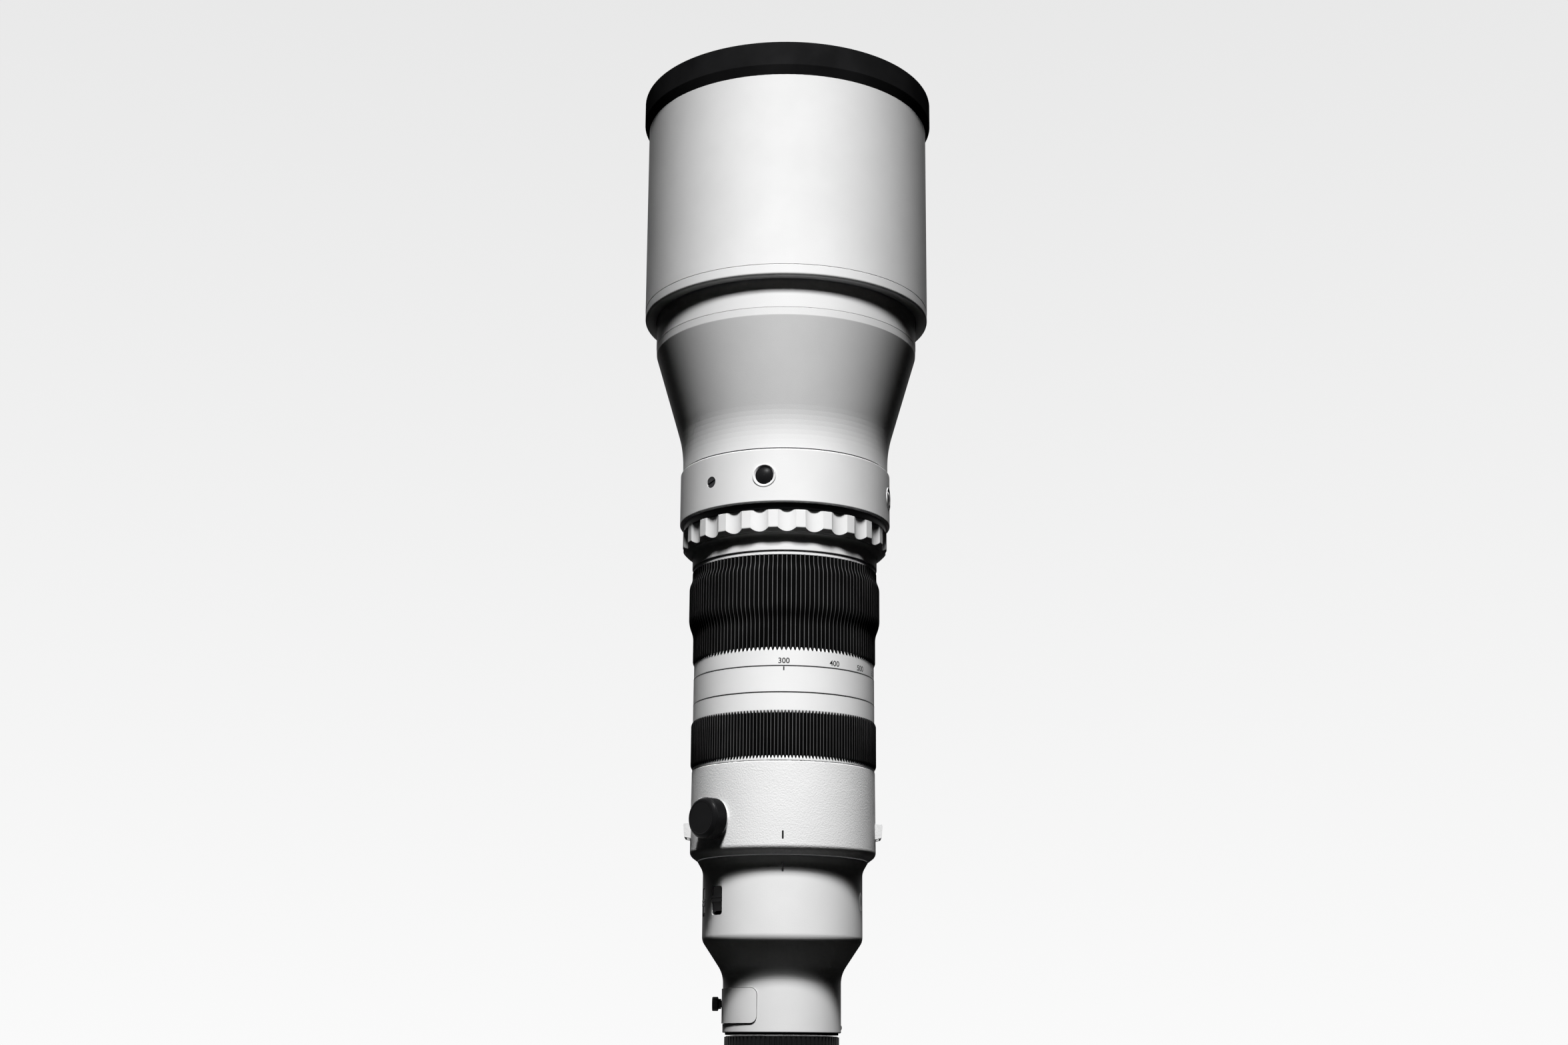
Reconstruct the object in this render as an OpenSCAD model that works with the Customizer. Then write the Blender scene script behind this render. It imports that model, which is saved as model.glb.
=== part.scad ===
// Long telephoto zoom lens for a mirrorless camera, standing on its rear cap with its hood fitted.
// Millimetres. The origin is the centre of the mount flange plane on the optical axis, +Z points to the
// front. Angles named phi are measured about the axis from -Y (the index side), positive towards +X.

/* [Rear barrel] */
// Height of the white barrel's lower edge above the mount flange plane
flange_gap = 1.6; // [1:0.1:3]
// Diameter of the narrow rear part, which holds the drop-in filter
rear_d = 71.1; // [70.6:0.1:76]
// Length of the narrow rear part
rear_len = 34.5; // [33:0.5:44]
// Length of the taper above it
taper_len = 19.55; // [15:0.05:26]
// Diameter of the switch section
body_d = 97.1; // [94:0.1:101]
// Length of the switch section
body_len = 39.55; // [36:0.05:50]
// Length of the flare under the tripod collar
flare_len = 8; // [6:0.5:12]
// How far the flare stands out from the main tube at the collar seam
flare_step = 0.5; // [0.3:0.05:1.5]
// Wall of the barrel castings
wall = 3; // [2.4:0.1:3.4]

/* [Bayonet mount] */
// Outer diameter of the flange ring
flange_d = 62; // [60:0.1:63]
// Diameter of the bayonet skirt
skirt_d = 54; // [53:0.1:55]
// Bore of the bayonet skirt
throat_d = 50.4; // [49:0.1:51]
// How far the skirt stands behind the flange plane
skirt_len = 4.5; // [4:0.1:6]
// Diameter over the bayonet lugs
lug_d = 57.6; // [56.5:0.1:58.5]
// Thickness of a bayonet lug
lug_t = 1.5; // [1:0.1:1.8]
// Diameter of the flange screw heads
flange_screw_d = 2.6; // [2:0.1:2.8]
// Diameter of the mount index bead
bead_d = 2.5; // [2:0.1:3]

/* [Drop-in filter] */
// Height of the door's lower edge above the flange plane
door_z = 7; // [6.6:0.1:8]
// Height of the door
door_h = 20.3; // [18:0.1:21]
// Half of the arc that the door covers, in degrees
door_half = 65.4; // [62:0.1:67]
// How far the door stands proud of the barrel
door_proud = 0.6; // [0.2:0.1:1]
// Corner radius of the door
door_corner = 4; // [2:0.5:6]
// Diameter of the filter's clear opening
filter_d = 38; // [34:0.5:40]
// Diameter of the lock knob on the door
lock_d = 8.5; // [7:0.1:11]
// How far the lock knob stands out from the door
lock_len = 5.7; // [4:0.1:9]

/* [Switches] */
// Width of a switch window
switch_w = 12.6; // [11:0.1:14]
// Height of a switch window
switch_h = 18.8; // [16:0.1:22]
// Height of the windows' centre above the foot of the switch section
switch_up = 22.35; // [18:0.05:26]
// Angles of the focus, limit and steady switches round the barrel
switch_phi = [-53.8, -80, -106.2];
// Width of the bright frame round a control
bezel_w = 0.9; // [0.6:0.1:1.3]
// Travel of a switch
switch_travel = 2.2; // [1.5:0.1:3]
// Diameter of the round set button with its frame
set_d = 13.5; // [10:0.1:15]
// Angle of the round set button
set_phi = 77.8; // [60:0.1:110]
// Travel of a press button
press_travel = 0.8; // [0.4:0.1:1.2]

/* [Main tube] */
// Wall of the tube that the rings turn on
tube_wall = 3; // [2.6:0.1:3.2]
// How much narrower its bore is than the switch section
bore_step = 0.1; // [0:0.1:1]

/* [Tripod collar] */
// Length of the collar
collar_len = 54.5; // [50:0.5:70]
// How far the collar stands out from the tube near its lower end
collar_step = 5.25; // [4.6:0.05:7]
// How far the collar stands out from the tube at its upper end
collar_top_step = 4.85; // [4:0.05:7]
// Width of the pad that carries the foot
pad_w = 30; // [24:1:32]
// Length of the pad along the lens
pad_h = 40; // [34:1:46]
// How far the pad's face stands out from the collar
pad_step = 9.25; // [6:0.25:15]
// Height of a strap lug along the lens
lug_h = 9; // [7:0.5:12]
// How far a strap lug stands out from the collar
lug_step = 3.95; // [3:0.05:6]
// Height of the strap lugs above the collar's foot
lug_up = 17.9; // [14:0.1:30]
// Diameter of the collar lock knob
knob_d = 24.4; // [18:0.1:28]
// How far the knob's outer face stands out from the collar
knob_step = 11.25; // [8:0.25:18]
// Angle of the lock knob
knob_phi = -45.5; // [-60:0.5:-35]
// Height of the lock knob above the collar's foot
knob_up = 21.7; // [18:0.1:32]
// Number of flutes cut across the lock knob's rim
knob_teeth = 56; // [36:2:72]

/* [Tripod foot] */
// Length of the foot's dovetail plate
foot_len = 120; // [100:1:150]
// Width of the dovetail across its widest edges
foot_w = 38; // [36:0.1:39]
// How far the foot's outer face stands out from the pad
foot_step = 27.5; // [24:0.5:38]
// Thickness of the foot plate
foot_t = 9.5; // [8.5:0.1:13]
// How far the plate reaches behind the pad's centre
foot_back = 42; // [30:1:60]
// Wall diameter of the small tripod thread
quarter_d = 5.2; // [4.9:0.1:6.3]
// Wall diameter of the large tripod thread
three_eighths_d = 8; // [7.6:0.1:9.5]

/* [Focus ring] */
// Length of the focus ring
focus_len = 40.6; // [36:0.1:60]
// How far its white body stands out from the tube
focus_step = 4.65; // [4:0.05:6.5]
// How far its rubber ribs stand out from the white body
focus_grip_step = 1.05; // [0.4:0.05:3]
// Length of its rubber
focus_grip_len = 28.6; // [20:0.1:36]
// Height of the rubber above the ring's lower edge
focus_grip_up = 1.4; // [1:0.1:4]
// Number of ribs round the focus rubber
focus_ribs = 168; // [120:2:180]

/* [Index band] */
// Length of the fixed band with the zoom index
index_len = 15.6; // [8:0.1:24]
// How far that band stands out from the tube
index_step = 4.6; // [4:0.05:6.5]

/* [Zoom ring] */
// Length of the zoom ring
zoom_len = 70.1; // [64:0.1:90]
// How far its white body stands out from the tube
zoom_step = 4.45; // [3.5:0.05:5]
// Height of the zoom rubber above the ring's lower edge
zoom_grip_up = 9.4; // [7:0.1:14]
// Length of the white strip above the rubber
zoom_strip = 2.1; // [1.4:0.1:4]
// How far the ribs of the lower part stand out from the white body
grip_low_step = 0.9; // [0.5:0.05:2]
// How far the ribs of the raised part stand out from the white body
grip_high_step = 3.65; // [2:0.05:5.5]
// How far the ribs above the raised part stand out from the white body
grip_top_step = 1.85; // [1:0.05:3]
// Depth of the ribs
rib_depth = 1.1; // [0.5:0.1:1.2]
// Width of a rib's crest, as a share of the pitch
rib_crest = 0.22; // [0.15:0.01:0.5]
// Width of each flank of a rib, as a share of the pitch
rib_flank = 0.25; // [0.1:0.01:0.35]
// Number of ribs round the zoom rubber
zoom_ribs = 132; // [90:2:144]
// Turn of the zoom ring from its short to its long end, in degrees
zoom_turn = 77; // [60:1:90]
// Travel of the zooming lens group
zoom_travel = 36; // [25:1:45]

/* [Function ring] */
// Length of the neck above the zoom ring
neck_len = 10.2; // [8:0.1:16]
// How far the neck stands out from the tube
neck_step = 6.5; // [5.5:0.05:7.5]
// Length of the fluted function ring
function_len = 13.2; // [10:0.1:20]
// How far the function ring's lands stand out from the tube
function_step = 12.85; // [12:0.05:14.5]
// Number of flutes
flutes = 24; // [18:1:26]
// Angle of the first flute
flute_phi = 1.2; // [0:0.1:14]
// Width of a flute
flute_w = 11.7; // [9:0.1:13]
// Depth of a flute
flute_depth = 2.1; // [1:0.1:2.6]
// Height of the chamfer under the ring
function_chamfer = 2.25; // [1:0.05:2.6]

/* [Button section] */
// Length of the black ring under the buttons
trim_len = 4.1; // [2:0.1:8]
// How far that ring lies inside the function ring's lands
trim_step = 0.65; // [0:0.05:2]
// Length of the button section
button_len = 33.1; // [26:0.1:45]
// How far the button section stands out from the function ring's lands
button_step = 1.95; // [1:0.05:3.5]
// Diameter of a domed button
dome_d = 10.7; // [8:0.1:12]
// Outer diameter of the collar round a button
dome_bezel_d = 14.5; // [13.5:0.1:17]
// How far that collar's lip stands out from the barrel
bezel_lip = 0.3; // [0:0.05:0.8]
// Height of the dome above the barrel
dome_proud = 1; // [0.6:0.1:1.6]
// Angle of the first button, the others follow at quarter turns
dome_phi = -11; // [-30:1:20]
// Diameter of the two slotted screws
slot_screw_d = 7; // [4:0.1:8]
// Angle of the first slotted screw
slot_screw_phi = -43; // [-60:1:-30]

/* [Front barrel] */
// Length of the straight neck of the front barrel, up to where the cone begins
front_neck_len = 17.3; // [12:0.1:30]
// How far that neck lies inside the button section
front_neck_step = 1.3; // [0.5:0.05:3]
// Length of the cone
cone_len = 62.4; // [50:0.1:80]
// Largest diameter of the barrel
front_d = 167; // [160:0.1:172]
// Length of the front ring that the hood slides on
front_ring_len = 36.8; // [30:0.1:50]
// Height of the narrow band between cone and front ring
front_band = 4.7; // [2:0.1:8]

/* [Glass] */
// How far the front element's edge lies inside the front ring
front_glass_step = 7.5; // [6.5:0.25:13]
// Thickness of the front element at its middle
front_glass_t = 13; // [9:0.5:16]
// Radius of curvature of the front element's outer face
front_glass_curve = 420; // [300:5:700]
// How far the second element's edge lies inside the front element's
second_glass_step = 4; // [3:0.25:10]
// Diameter of the moving groups' glass
group_glass_d = 56; // [40:0.5:60]
// Diameter of the rear element
rear_glass_d = 42; // [36:0.5:50]

/* [Hood] */
// Outer diameter of the hood tube
hood_d = 182.2; // [178:0.1:190]
// Wall of the hood tube
hood_wall = 2.1; // [1.5:0.1:3]
// Length of the hood
hood_len = 152.6; // [120:0.1:200]
// How far the hood overlaps the front ring
hood_overlap = 18.9; // [16:0.1:26]
// Height of the hood's base ring where it shows
hood_base_h = 6.9; // [4:0.1:10]
// Diameter of the rubber rim
rim_d = 188.1; // [184:0.1:198]
// Height of the rubber rim
rim_h = 20.9; // [14:0.1:30]
// Height of the chamfer under the rubber rim
rim_chamfer = 5.4; // [3:0.1:8]
// Thickness of the black lining
lining_t = 0.75; // [0.4:0.05:1]
// Diameter of the hood lock knob
hood_knob_d = 16; // [12:0.5:20]
// Length of the hood lock knob
hood_knob_len = 12; // [8:0.5:16]

/* [Rear cap] */
// Diameter of the rear cap
cap_d = 68.8; // [66:0.1:70]
// Height of the rear cap
cap_h = 16.2; // [14:0.1:22]
// Thickness of the cap's floor
cap_floor = 2.5; // [1.5:0.1:4]
// Number of grip ribs round the cap
cap_ribs = 72; // [40:2:90]

/* [Fits] */
// Seam between a turning ring and its neighbour along the axis
seam = 0.3; // [0.2:0.05:0.5]
// Running clearance of a ring on the barrel tube
run_gap = 0.3; // [0.25:0.05:0.5]
// Clearance of a shaft in its hole
pin_gap = 0.05; // [0.03:0.01:0.1]
// Clearance of a sliding cover or switch in its window
slide_gap = 0.2; // [0.15:0.05:0.3]

/* [Hidden] */
$fn = 120;
eps = 0.01;
far = 400;

// Diameters of the nested sections, each a step from the one that carries it
tube_bore = body_d - bore_step;
tube_d = tube_bore + 2 * tube_wall;
flare_d = tube_d + 2 * flare_step;
collar_d = tube_d + 2 * collar_step;
collar_top_d = tube_d + 2 * collar_top_step;
focus_d = tube_d + 2 * focus_step;
focus_grip_d = focus_d + 2 * focus_grip_step;
index_d = tube_d + 2 * index_step;
zoom_d = tube_d + 2 * zoom_step;
grip_low_d = zoom_d + 2 * grip_low_step;
grip_high_d = zoom_d + 2 * grip_high_step;
grip_top_d = zoom_d + 2 * grip_top_step;
neck_d = tube_d + 2 * neck_step;
function_d = tube_d + 2 * function_step;
trim_d = function_d - 2 * trim_step;
button_sec_d = function_d + 2 * button_step;
front_neck_d = button_sec_d - 2 * front_neck_step;
front_glass_d = front_d - 2 * front_glass_step;
second_glass_d = front_glass_d - 2 * second_glass_step;

// Distances from the axis
pad_r = collar_d / 2 + pad_step;
lug_r = collar_d / 2 + lug_step;
knob_r = collar_d / 2 + knob_step;
foot_r = pad_r + foot_step;

// Curves of the glass and of the bend into the cone
cone_bend = 75;
rear_curves = [90, 140];
zoom_curves = [120, 200];
focus_curves = [150, 150];
stabiliser_curves = [160, 160];
front_back_curve = 900;
second_curves = [700, 500];

// Heights of the sections, each starting where the one below it ends
z_rear = flange_gap;
z_taper = z_rear + rear_len;
z_body = z_taper + taper_len;
z_flare = z_body + body_len;
z_tube = z_flare + flare_len;
z_collar = z_tube + seam;
z_focus = z_collar + collar_len + seam;
z_index = z_focus + focus_len + seam;
z_zoom = z_index + index_len + seam;
z_neck = z_zoom + zoom_len + seam;
z_function = z_neck + neck_len + seam;
z_trim = z_function + function_len + seam;
z_button = z_trim + trim_len;
z_front = z_button + button_len;
z_cone = z_front + front_neck_len;
z_band = z_cone + cone_len;
z_ring = z_band + front_band;
z_face = z_ring + front_ring_len;
z_hood = z_face - hood_overlap;
z_rim_top = z_hood + hood_len;
z_rim = z_rim_top - rim_h;

// Radii of the nested tubes, from the outside in
ring_bore = tube_d / 2 + run_gap;
cam_r = tube_bore / 2 - run_gap;
cam_wall = 1.6;
guide_r = cam_r - cam_wall - run_gap;
guide_wall = 1.6;
cell_r = guide_r - guide_wall - run_gap;
cavity_r = tube_bore / 2 - wall;
spigot_r = cavity_r - pin_gap;
spigot_wall = 3;

// Places inside the barrel
filter_cavity_r = rear_d / 2 - 3.75;
holder_r = filter_cavity_r - run_gap;
holder_inset = 1.5;
holder_h = door_h - 2 * holder_inset;
z_holder = door_z + holder_inset;
plate_t = 3.4;
z_plate = z_holder + holder_h + seam;
z_cell_seat = z_plate + plate_t;
web_up = 4.8;
web_t = 3;
z_web = z_tube + web_up;
z_iris = z_index - 10;
iris_t = 8;
z_guide = z_iris + iris_t;
z_zoom_cell = z_zoom + 12;
zoom_cell_h = 16;
z_focus_cell = z_web + web_t + 8;
focus_cell_h = 16;
cam_pin_r = 2;
cam_pins = 3;
z_zoom_pin = z_zoom_cell + zoom_cell_h / 2;
rod_r = 1.5;
rod_pcr = 38;
z_switch = z_body + switch_up;
z_knob = z_collar + knob_up;
z_lug = z_collar + lug_up;
z_pad = z_collar + collar_len / 2;
z_dome = z_button + button_len / 2;
z_hood_knob = z_hood + hood_base_h + 4;
z_foot = z_pad - foot_back;
lug_count = 3;
lug_span = 40;
key_w = 6;
z_key = z_zoom + 40;
key_phi = 180;
key_depth = 1.8;

// Outlines are lists of [radius, height, corner radius], and corners are rounded with true arcs
function unit2(v) = v / norm(v);
function corner(a, b, c, n = 7) =
    b[2] == 0 ? [[b[0], b[1]]] :
    let (
        p = [b[0], b[1]],
        u = unit2([a[0], a[1]] - p),
        v = unit2([c[0], c[1]] - p),
        half = acos(max(-1, min(1, u * v))) / 2,
        reach = b[2] / tan(half),
        centre = p + unit2(u + v) * b[2] / sin(half),
        q0 = p + u * reach - centre,
        q1 = p + v * reach - centre,
        a0 = atan2(q0[1], q0[0]),
        turn = atan2(q1[1], q1[0]) - a0,
        sweep = turn > 180 ? turn - 360 : turn < -180 ? turn + 360 : turn
    )
    [for (k = [0 : n]) centre + b[2] * [cos(a0 + sweep * k / n), sin(a0 + sweep * k / n)]];
function rounded(p) =
    [for (i = [0 : len(p) - 1]) each corner(p[(i + len(p) - 1) % len(p)], p[i], p[(i + 1) % len(p)])];

module turned(p) {
    rotate_extrude() polygon(rounded(p));
}

module tube(r_out, r_in, z0, h) {
    translate([0, 0, z0]) rotate_extrude() translate([r_in, 0]) square([r_out - r_in, h]);
}

module disc(r, z0, h) {
    translate([0, 0, z0]) cylinder(r = r, h = h);
}

// Part of a tube between two angles phi
module arc_wall(r_out, r_in, z0, h, phi0, phi1) {
    translate([0, 0, z0])
        rotate([0, 0, phi0 - 90])
            rotate_extrude(angle = phi1 - phi0) translate([r_in, 0]) square([r_out - r_in, h]);
}

// Places a feature on the barrel: local Z points out from the axis and local Y points to the front
module on_barrel(phi, z) {
    translate([0, 0, z]) rotate([0, 0, phi]) rotate([90, 0, 0]) children();
}

module round_slab(w, h, r) {
    square([w - 2 * r, h], center = true);
    square([w, h - 2 * r], center = true);
    for (x = [-1, 1], y = [-1, 1]) translate([x * (w / 2 - r), y * (h / 2 - r)]) circle(r = r);
}

// Outline of a wheel with n ribs between radii r0 and r1, each with its flanks and crest as shares of a pitch
function rib_ring(n, r0, r1, crest, flank = 0.12) =
    [for (i = [0 : n - 1], k = [0 : 3])
        let (a = 360 / n * (i + [0, flank, flank + crest, 2 * flank + crest][k]), r = [r0, r1, r1, r0][k])
        r * [cos(a), sin(a)]];

// Half section of a biconvex lens from the axis outwards: radius, edge height, curves of both faces
module lens_blank(r, z0, t, curve_top, curve_bottom) {
    rotate_extrude() intersection() {
        translate([0, z0]) square([r, t]);
        translate([0, z0 + t - curve_top]) circle(r = curve_top, $fn = 720);
        translate([0, z0 + curve_bottom]) circle(r = curve_bottom, $fn = 720);
    }
}

// Rear barrel and mount

module mount_flange() {
    color("silver") {
        difference() {
            turned([
                [throat_d / 2, -skirt_len, 0.3], [skirt_d / 2, -skirt_len, 0.3], [skirt_d / 2, 0, 0],
                [flange_d / 2, 0, 0.2], [flange_d / 2, z_rear, 0], [skirt_d / 2, z_rear, 0],
                [skirt_d / 2, z_rear + 3.4, 0], [throat_d / 2, z_rear + 3.4, 0]
            ]);
            flange_screw_places() disc(flange_screw_d / 2 + pin_gap, -1, 1 + flange_screw_sink);
            flange_screw_places() disc(flange_screw_shank_r + pin_gap, 0, z_rear + 1);
        }
        for (i = [0 : lug_count - 1])
            arc_wall(lug_d / 2, skirt_d / 2 - 0.5, -skirt_len + 0.3, lug_t,
                i * 360 / lug_count, i * 360 / lug_count + lug_span);
    }
}

flange_screw_sink = 0.9;
flange_screw_shank_r = 0.8;
flange_screw_len = 3.6;
flange_screw_pcr = (flange_d + skirt_d) / 4;

module flange_screw_places() {
    for (a = [30 : 90 : 300]) rotate([0, 0, a]) translate([flange_screw_pcr, 0, 0]) children();
}

module mount_screws() {
    color("gray") flange_screw_places() difference() {
        union() {
            disc(flange_screw_d / 2, 0.1, flange_screw_sink - 0.1);
            disc(flange_screw_shank_r, 0.5, z_rear + flange_screw_len - 0.8);
        }
        translate([0, 0, 0.1]) cube([0.5, flange_screw_d - 0.6, 0.6], center = true);
    }
}

module mount_gasket() {
    color("black") turned([
        [flange_d / 2 + 0.2, 0.3, 0.2], [cap_d / 2 - 0.4, 0.3, 0.4],
        [cap_d / 2 - 0.4, z_rear, 0], [flange_d / 2 + 0.2, z_rear, 0]
    ]);
}

bead_z = z_rear + 3.3;

module index_bead() {
    color("white") on_barrel(90, bead_z) {
        translate([0, 0, rear_d / 2 - 2]) rotate_extrude() intersection() {
            square([bead_d / 2, 3]);
            translate([0, 2.6 - bead_d]) circle(r = bead_d);
        }
    }
}

baffle_window = [38, 26];

module rear_baffle() {
    color("black") difference() {
        union() {
            disc(throat_d / 2 - pin_gap, 1, 3);
            arc_wall(throat_d / 2 - 0.4, throat_d / 2 - 5.4, -skirt_len + 0.7, skirt_len + 1, -36, 36);
        }
        translate([0, 0, 2]) linear_extrude(height = 8, center = true)
            round_slab(baffle_window[0], baffle_window[1], 3);
        contact_places() disc(contact_r + pin_gap, -skirt_len, contact_len + 1);
    }
}

contact_r = 0.6;
contact_len = 2;
contacts = 10;

module contact_places() {
    for (i = [0 : contacts - 1])
        rotate([0, 0, (i - (contacts - 1) / 2) * 6.6 - 90]) translate([throat_d / 2 - 2.9, 0, 0]) children();
}

module contact_pins() {
    color("gold") contact_places() disc(contact_r, -skirt_len + 0.4, contact_len + 0.3);
}

// Window cut through the wall for each control, and the filter's door and chamber
module control_windows(extra) {
    for (phi = switch_phi)
        on_barrel(phi, z_switch) translate([0, 0, cavity_r - 3])
            linear_extrude(height = 10) round_slab(switch_w + 2 * extra, switch_h + 2 * extra, 2.5);
    on_barrel(set_phi, z_switch + 1.3) disc(set_d / 2 + extra, cavity_r - 3, 10);
}

// Curved panel with rounded corners, wrapped round the rear barrel on its filter side
module door_panel(margin, r_in, r_out) {
    x_edge = rear_d / 2 * cos(door_half) - margin;
    w = r_out - x_edge + 2 * door_corner;
    intersection() {
        tube(r_out, r_in, door_z - 1, door_h + 2);
        translate([-x_edge - w / 2, 0, door_z + door_h / 2]) rotate([90, 0, 0])
            linear_extrude(height = 2 * r_out + 2, center = true)
                round_slab(w, door_h + 2 * margin, door_corner + margin);
    }
}

module rear_barrel() {
    color("gainsboro") difference() {
        turned([
            [rear_d / 2, z_rear, 0.5], [rear_d / 2, z_taper, 18], [body_d / 2, z_body, 8],
            [body_d / 2, z_flare + 2, 10], [flare_d / 2, z_tube, 0.3], [cavity_r, z_tube, 0],
            [cavity_r, z_body + 2, 0], [rear_d / 2 - wall, z_taper + 2, 0],
            [rear_d / 2 - wall, z_cell_seat, 0], [rear_glass_d / 2 - 1, z_cell_seat, 0],
            [rear_glass_d / 2 - 1, z_plate, 0], [filter_cavity_r, z_plate, 0],
            [filter_cavity_r, z_holder - seam, 0], [skirt_d / 2 + pin_gap, z_holder - seam, 0],
            [skirt_d / 2 + pin_gap, z_rear, 0]
        ]);
        door_panel(seam, filter_cavity_r - 1 - seam, rear_d / 2 + 5);
        translate([-rear_d, -holder_r - slide_gap, z_holder - seam])
            cube([rear_d, 2 * (holder_r + slide_gap), holder_h + 2 * seam]);
        control_windows(pin_gap);
        on_barrel(90, bead_z) disc(bead_d / 2 + pin_gap, rear_d / 2 - 2, 4);
        flange_screw_places() disc(flange_screw_shank_r + pin_gap, z_rear - 1, flange_screw_len + 1);
    }
}

module control_bezels() {
    color("silver") intersection() {
        union() {
            for (phi = switch_phi)
                on_barrel(phi, z_switch) translate([0, 0, cavity_r]) linear_extrude(height = 8)
                    difference() {
                        round_slab(switch_w, switch_h, 2.5);
                        round_slab(switch_w - 2 * bezel_w, switch_h - 2 * bezel_w, 1.8);
                    }
            on_barrel(set_phi, z_switch + 1.3) difference() {
                disc(set_d / 2, cavity_r, 8);
                disc(set_d / 2 - bezel_w, cavity_r - 1, 10);
            }
        }
        disc(body_d / 2, z_body, body_len);
    }
}

// One switch: a plate behind its window with a grooved bar across the middle
module slider(phi, bars) {
    plate_w = switch_w - 2 * bezel_w - 2 * slide_gap;
    plate_h = switch_h - 2 * bezel_w - 2 * slide_gap - switch_travel;
    face_r = body_d / 2 - 0.8;
    color("dimgray") on_barrel(phi, z_switch + switch_travel / 2) {
        difference() {
            union() {
                translate([0, 0, cavity_r]) linear_extrude(height = face_r - cavity_r)
                    round_slab(plate_w, plate_h, 1.4);
                for (y = bars)
                    translate([0, y, face_r - 1]) linear_extrude(height = 1.7)
                        round_slab(plate_w, 3.8, 0.6);
            }
            for (y = bars) translate([0, y + 0.3, face_r + 0.6]) cube([plate_w + 2, 0.7, 0.8], center = true);
        }
    }
}

module focus_switch() {
    slider(switch_phi[0], [0]);
}

module limit_switch() {
    slider(switch_phi[1], [-1.2]);
}

module steady_switch() {
    slider(switch_phi[2], [0.6]);
}

module set_button() {
    color("black") on_barrel(set_phi, z_switch + 1.3) difference() {
        disc(set_d / 2 - bezel_w - slide_gap, cavity_r, body_d / 2 - cavity_r - 0.3);
        translate([0, 0, body_d / 2 + 17.2]) sphere(r = 18);
    }
}

module rear_cell() {
    color("black") turned([
        [rear_glass_d / 2 + 3.5, z_cell_seat, 0], [rear_glass_d / 2 + 3.5, z_cell_seat + 14, 0.5],
        [rear_glass_d / 2 - 1.5, z_cell_seat + 14, 0.5], [rear_glass_d / 2 - 1.5, z_cell_seat + 12, 0],
        [rear_glass_d / 2 + pin_gap, z_cell_seat + 12, 0], [rear_glass_d / 2 + pin_gap, z_cell_seat, 0]
    ]);
}

module rear_element() {
    color("lightcyan") lens_blank(rear_glass_d / 2, z_cell_seat + 1, 9, rear_curves[0], rear_curves[1]);
}

board_r = cavity_r - run_gap;

module circuit_board() {
    color("darkgreen") {
        tube(board_r, board_r - 12, z_body + 4, 1.6);
        for (a = [20 : 50 : 320])
            rotate([0, 0, a]) translate([board_r - 9, -4, z_body + 5.6]) cube([6, 8, 1.4]);
    }
}

// Drop-in filter

module filter_holder() {
    color("gainsboro") {
        difference() {
            union() {
                door_panel(0, filter_cavity_r - 1, rear_d / 2 + door_proud);
                disc(holder_r, z_holder, holder_h);
            }
            disc(filter_d / 2, door_z - 1, door_h + 2);
            disc(filter_d / 2 + 1.6 + pin_gap, door_z + door_h / 2 - 3, door_h);
            on_barrel(-90, door_z + door_h / 2 + 1.3)
                disc(lock_d / 4 + pin_gap, filter_d / 2 + 4, rear_d);
        }
    }
}

module filter_glass() {
    color("lightcyan") tube(filter_d / 2 + 1.6, 0, door_z + door_h / 2 - 3, 2.4);
}

module filter_knob() {
    color("black") on_barrel(-90, door_z + door_h / 2 + 1.3) {
        disc(lock_d / 4, filter_d / 2 + 6, rear_d / 2 - filter_d / 2 - 3);
        translate([0, 0, rear_d / 2 + door_proud + run_gap]) {
            difference() {
                turned([
                    [0, 0, 0], [lock_d / 2 - 1.2, 0, 0], [lock_d / 2 - 1.2, 1.4, 0], [lock_d / 2, 2, 0.3],
                    [lock_d / 2, lock_len - run_gap, 0.6], [0, lock_len - run_gap, 0]
                ]);
                translate([0, 0, lock_len - run_gap]) cube([lock_d - 2.4, 1.1, 1.6], center = true);
            }
        }
    }
}

// Main tube and the mechanism inside it

module main_tube() {
    color("dimgray") difference() {
        turned([
            [spigot_r, z_tube - 7, 0.4], [spigot_r, z_tube, 0], [tube_d / 2, z_tube, 0],
            [tube_d / 2, z_button + 6, 0.5], [tube_bore / 2, z_button + 6, 0],
            [tube_bore / 2, z_web + web_t, 0], [rod_pcr - 6, z_web + web_t, 0], [rod_pcr - 6, z_web, 0],
            [spigot_r - spigot_wall, z_web, 0], [spigot_r - spigot_wall, z_tube - 7, 0]
        ]);
        arc_wall(tube_d / 2 + 1, tube_bore / 2 - 1, z_key - key_w / 2 - 1, key_w + 2,
            key_phi - zoom_turn - key_arc, key_phi + key_arc);
    }
}

key_arc = 5;

// Fixed inner tube with straight slots, which keep the zooming group from turning
module guide_tube() {
    color("gray") difference() {
        union() {
            tube(guide_r, guide_r - guide_wall, z_guide, z_button - z_guide);
            tube(tube_bore / 2 - pin_gap, guide_r - guide_wall, z_guide, 3);
        }
        for (i = [0 : cam_pins - 1])
            rotate([0, 0, i * 360 / cam_pins - 90]) translate([guide_r - 4, 0, z_zoom_pin]) rotate([0, 90, 0])
                straight_slot(cam_pin_r + slide_gap, zoom_travel, 8);
    }
}

module straight_slot(r, reach, depth) {
    cylinder(r = r, h = depth);
    translate([-reach, 0, 0]) cylinder(r = r, h = depth);
    translate([-reach, -r, 0]) cube([reach, 2 * r, depth]);
}

// Turning cam tube with helical slots, each cut as a row of bores along the helix
cam_steps = 30;

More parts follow.
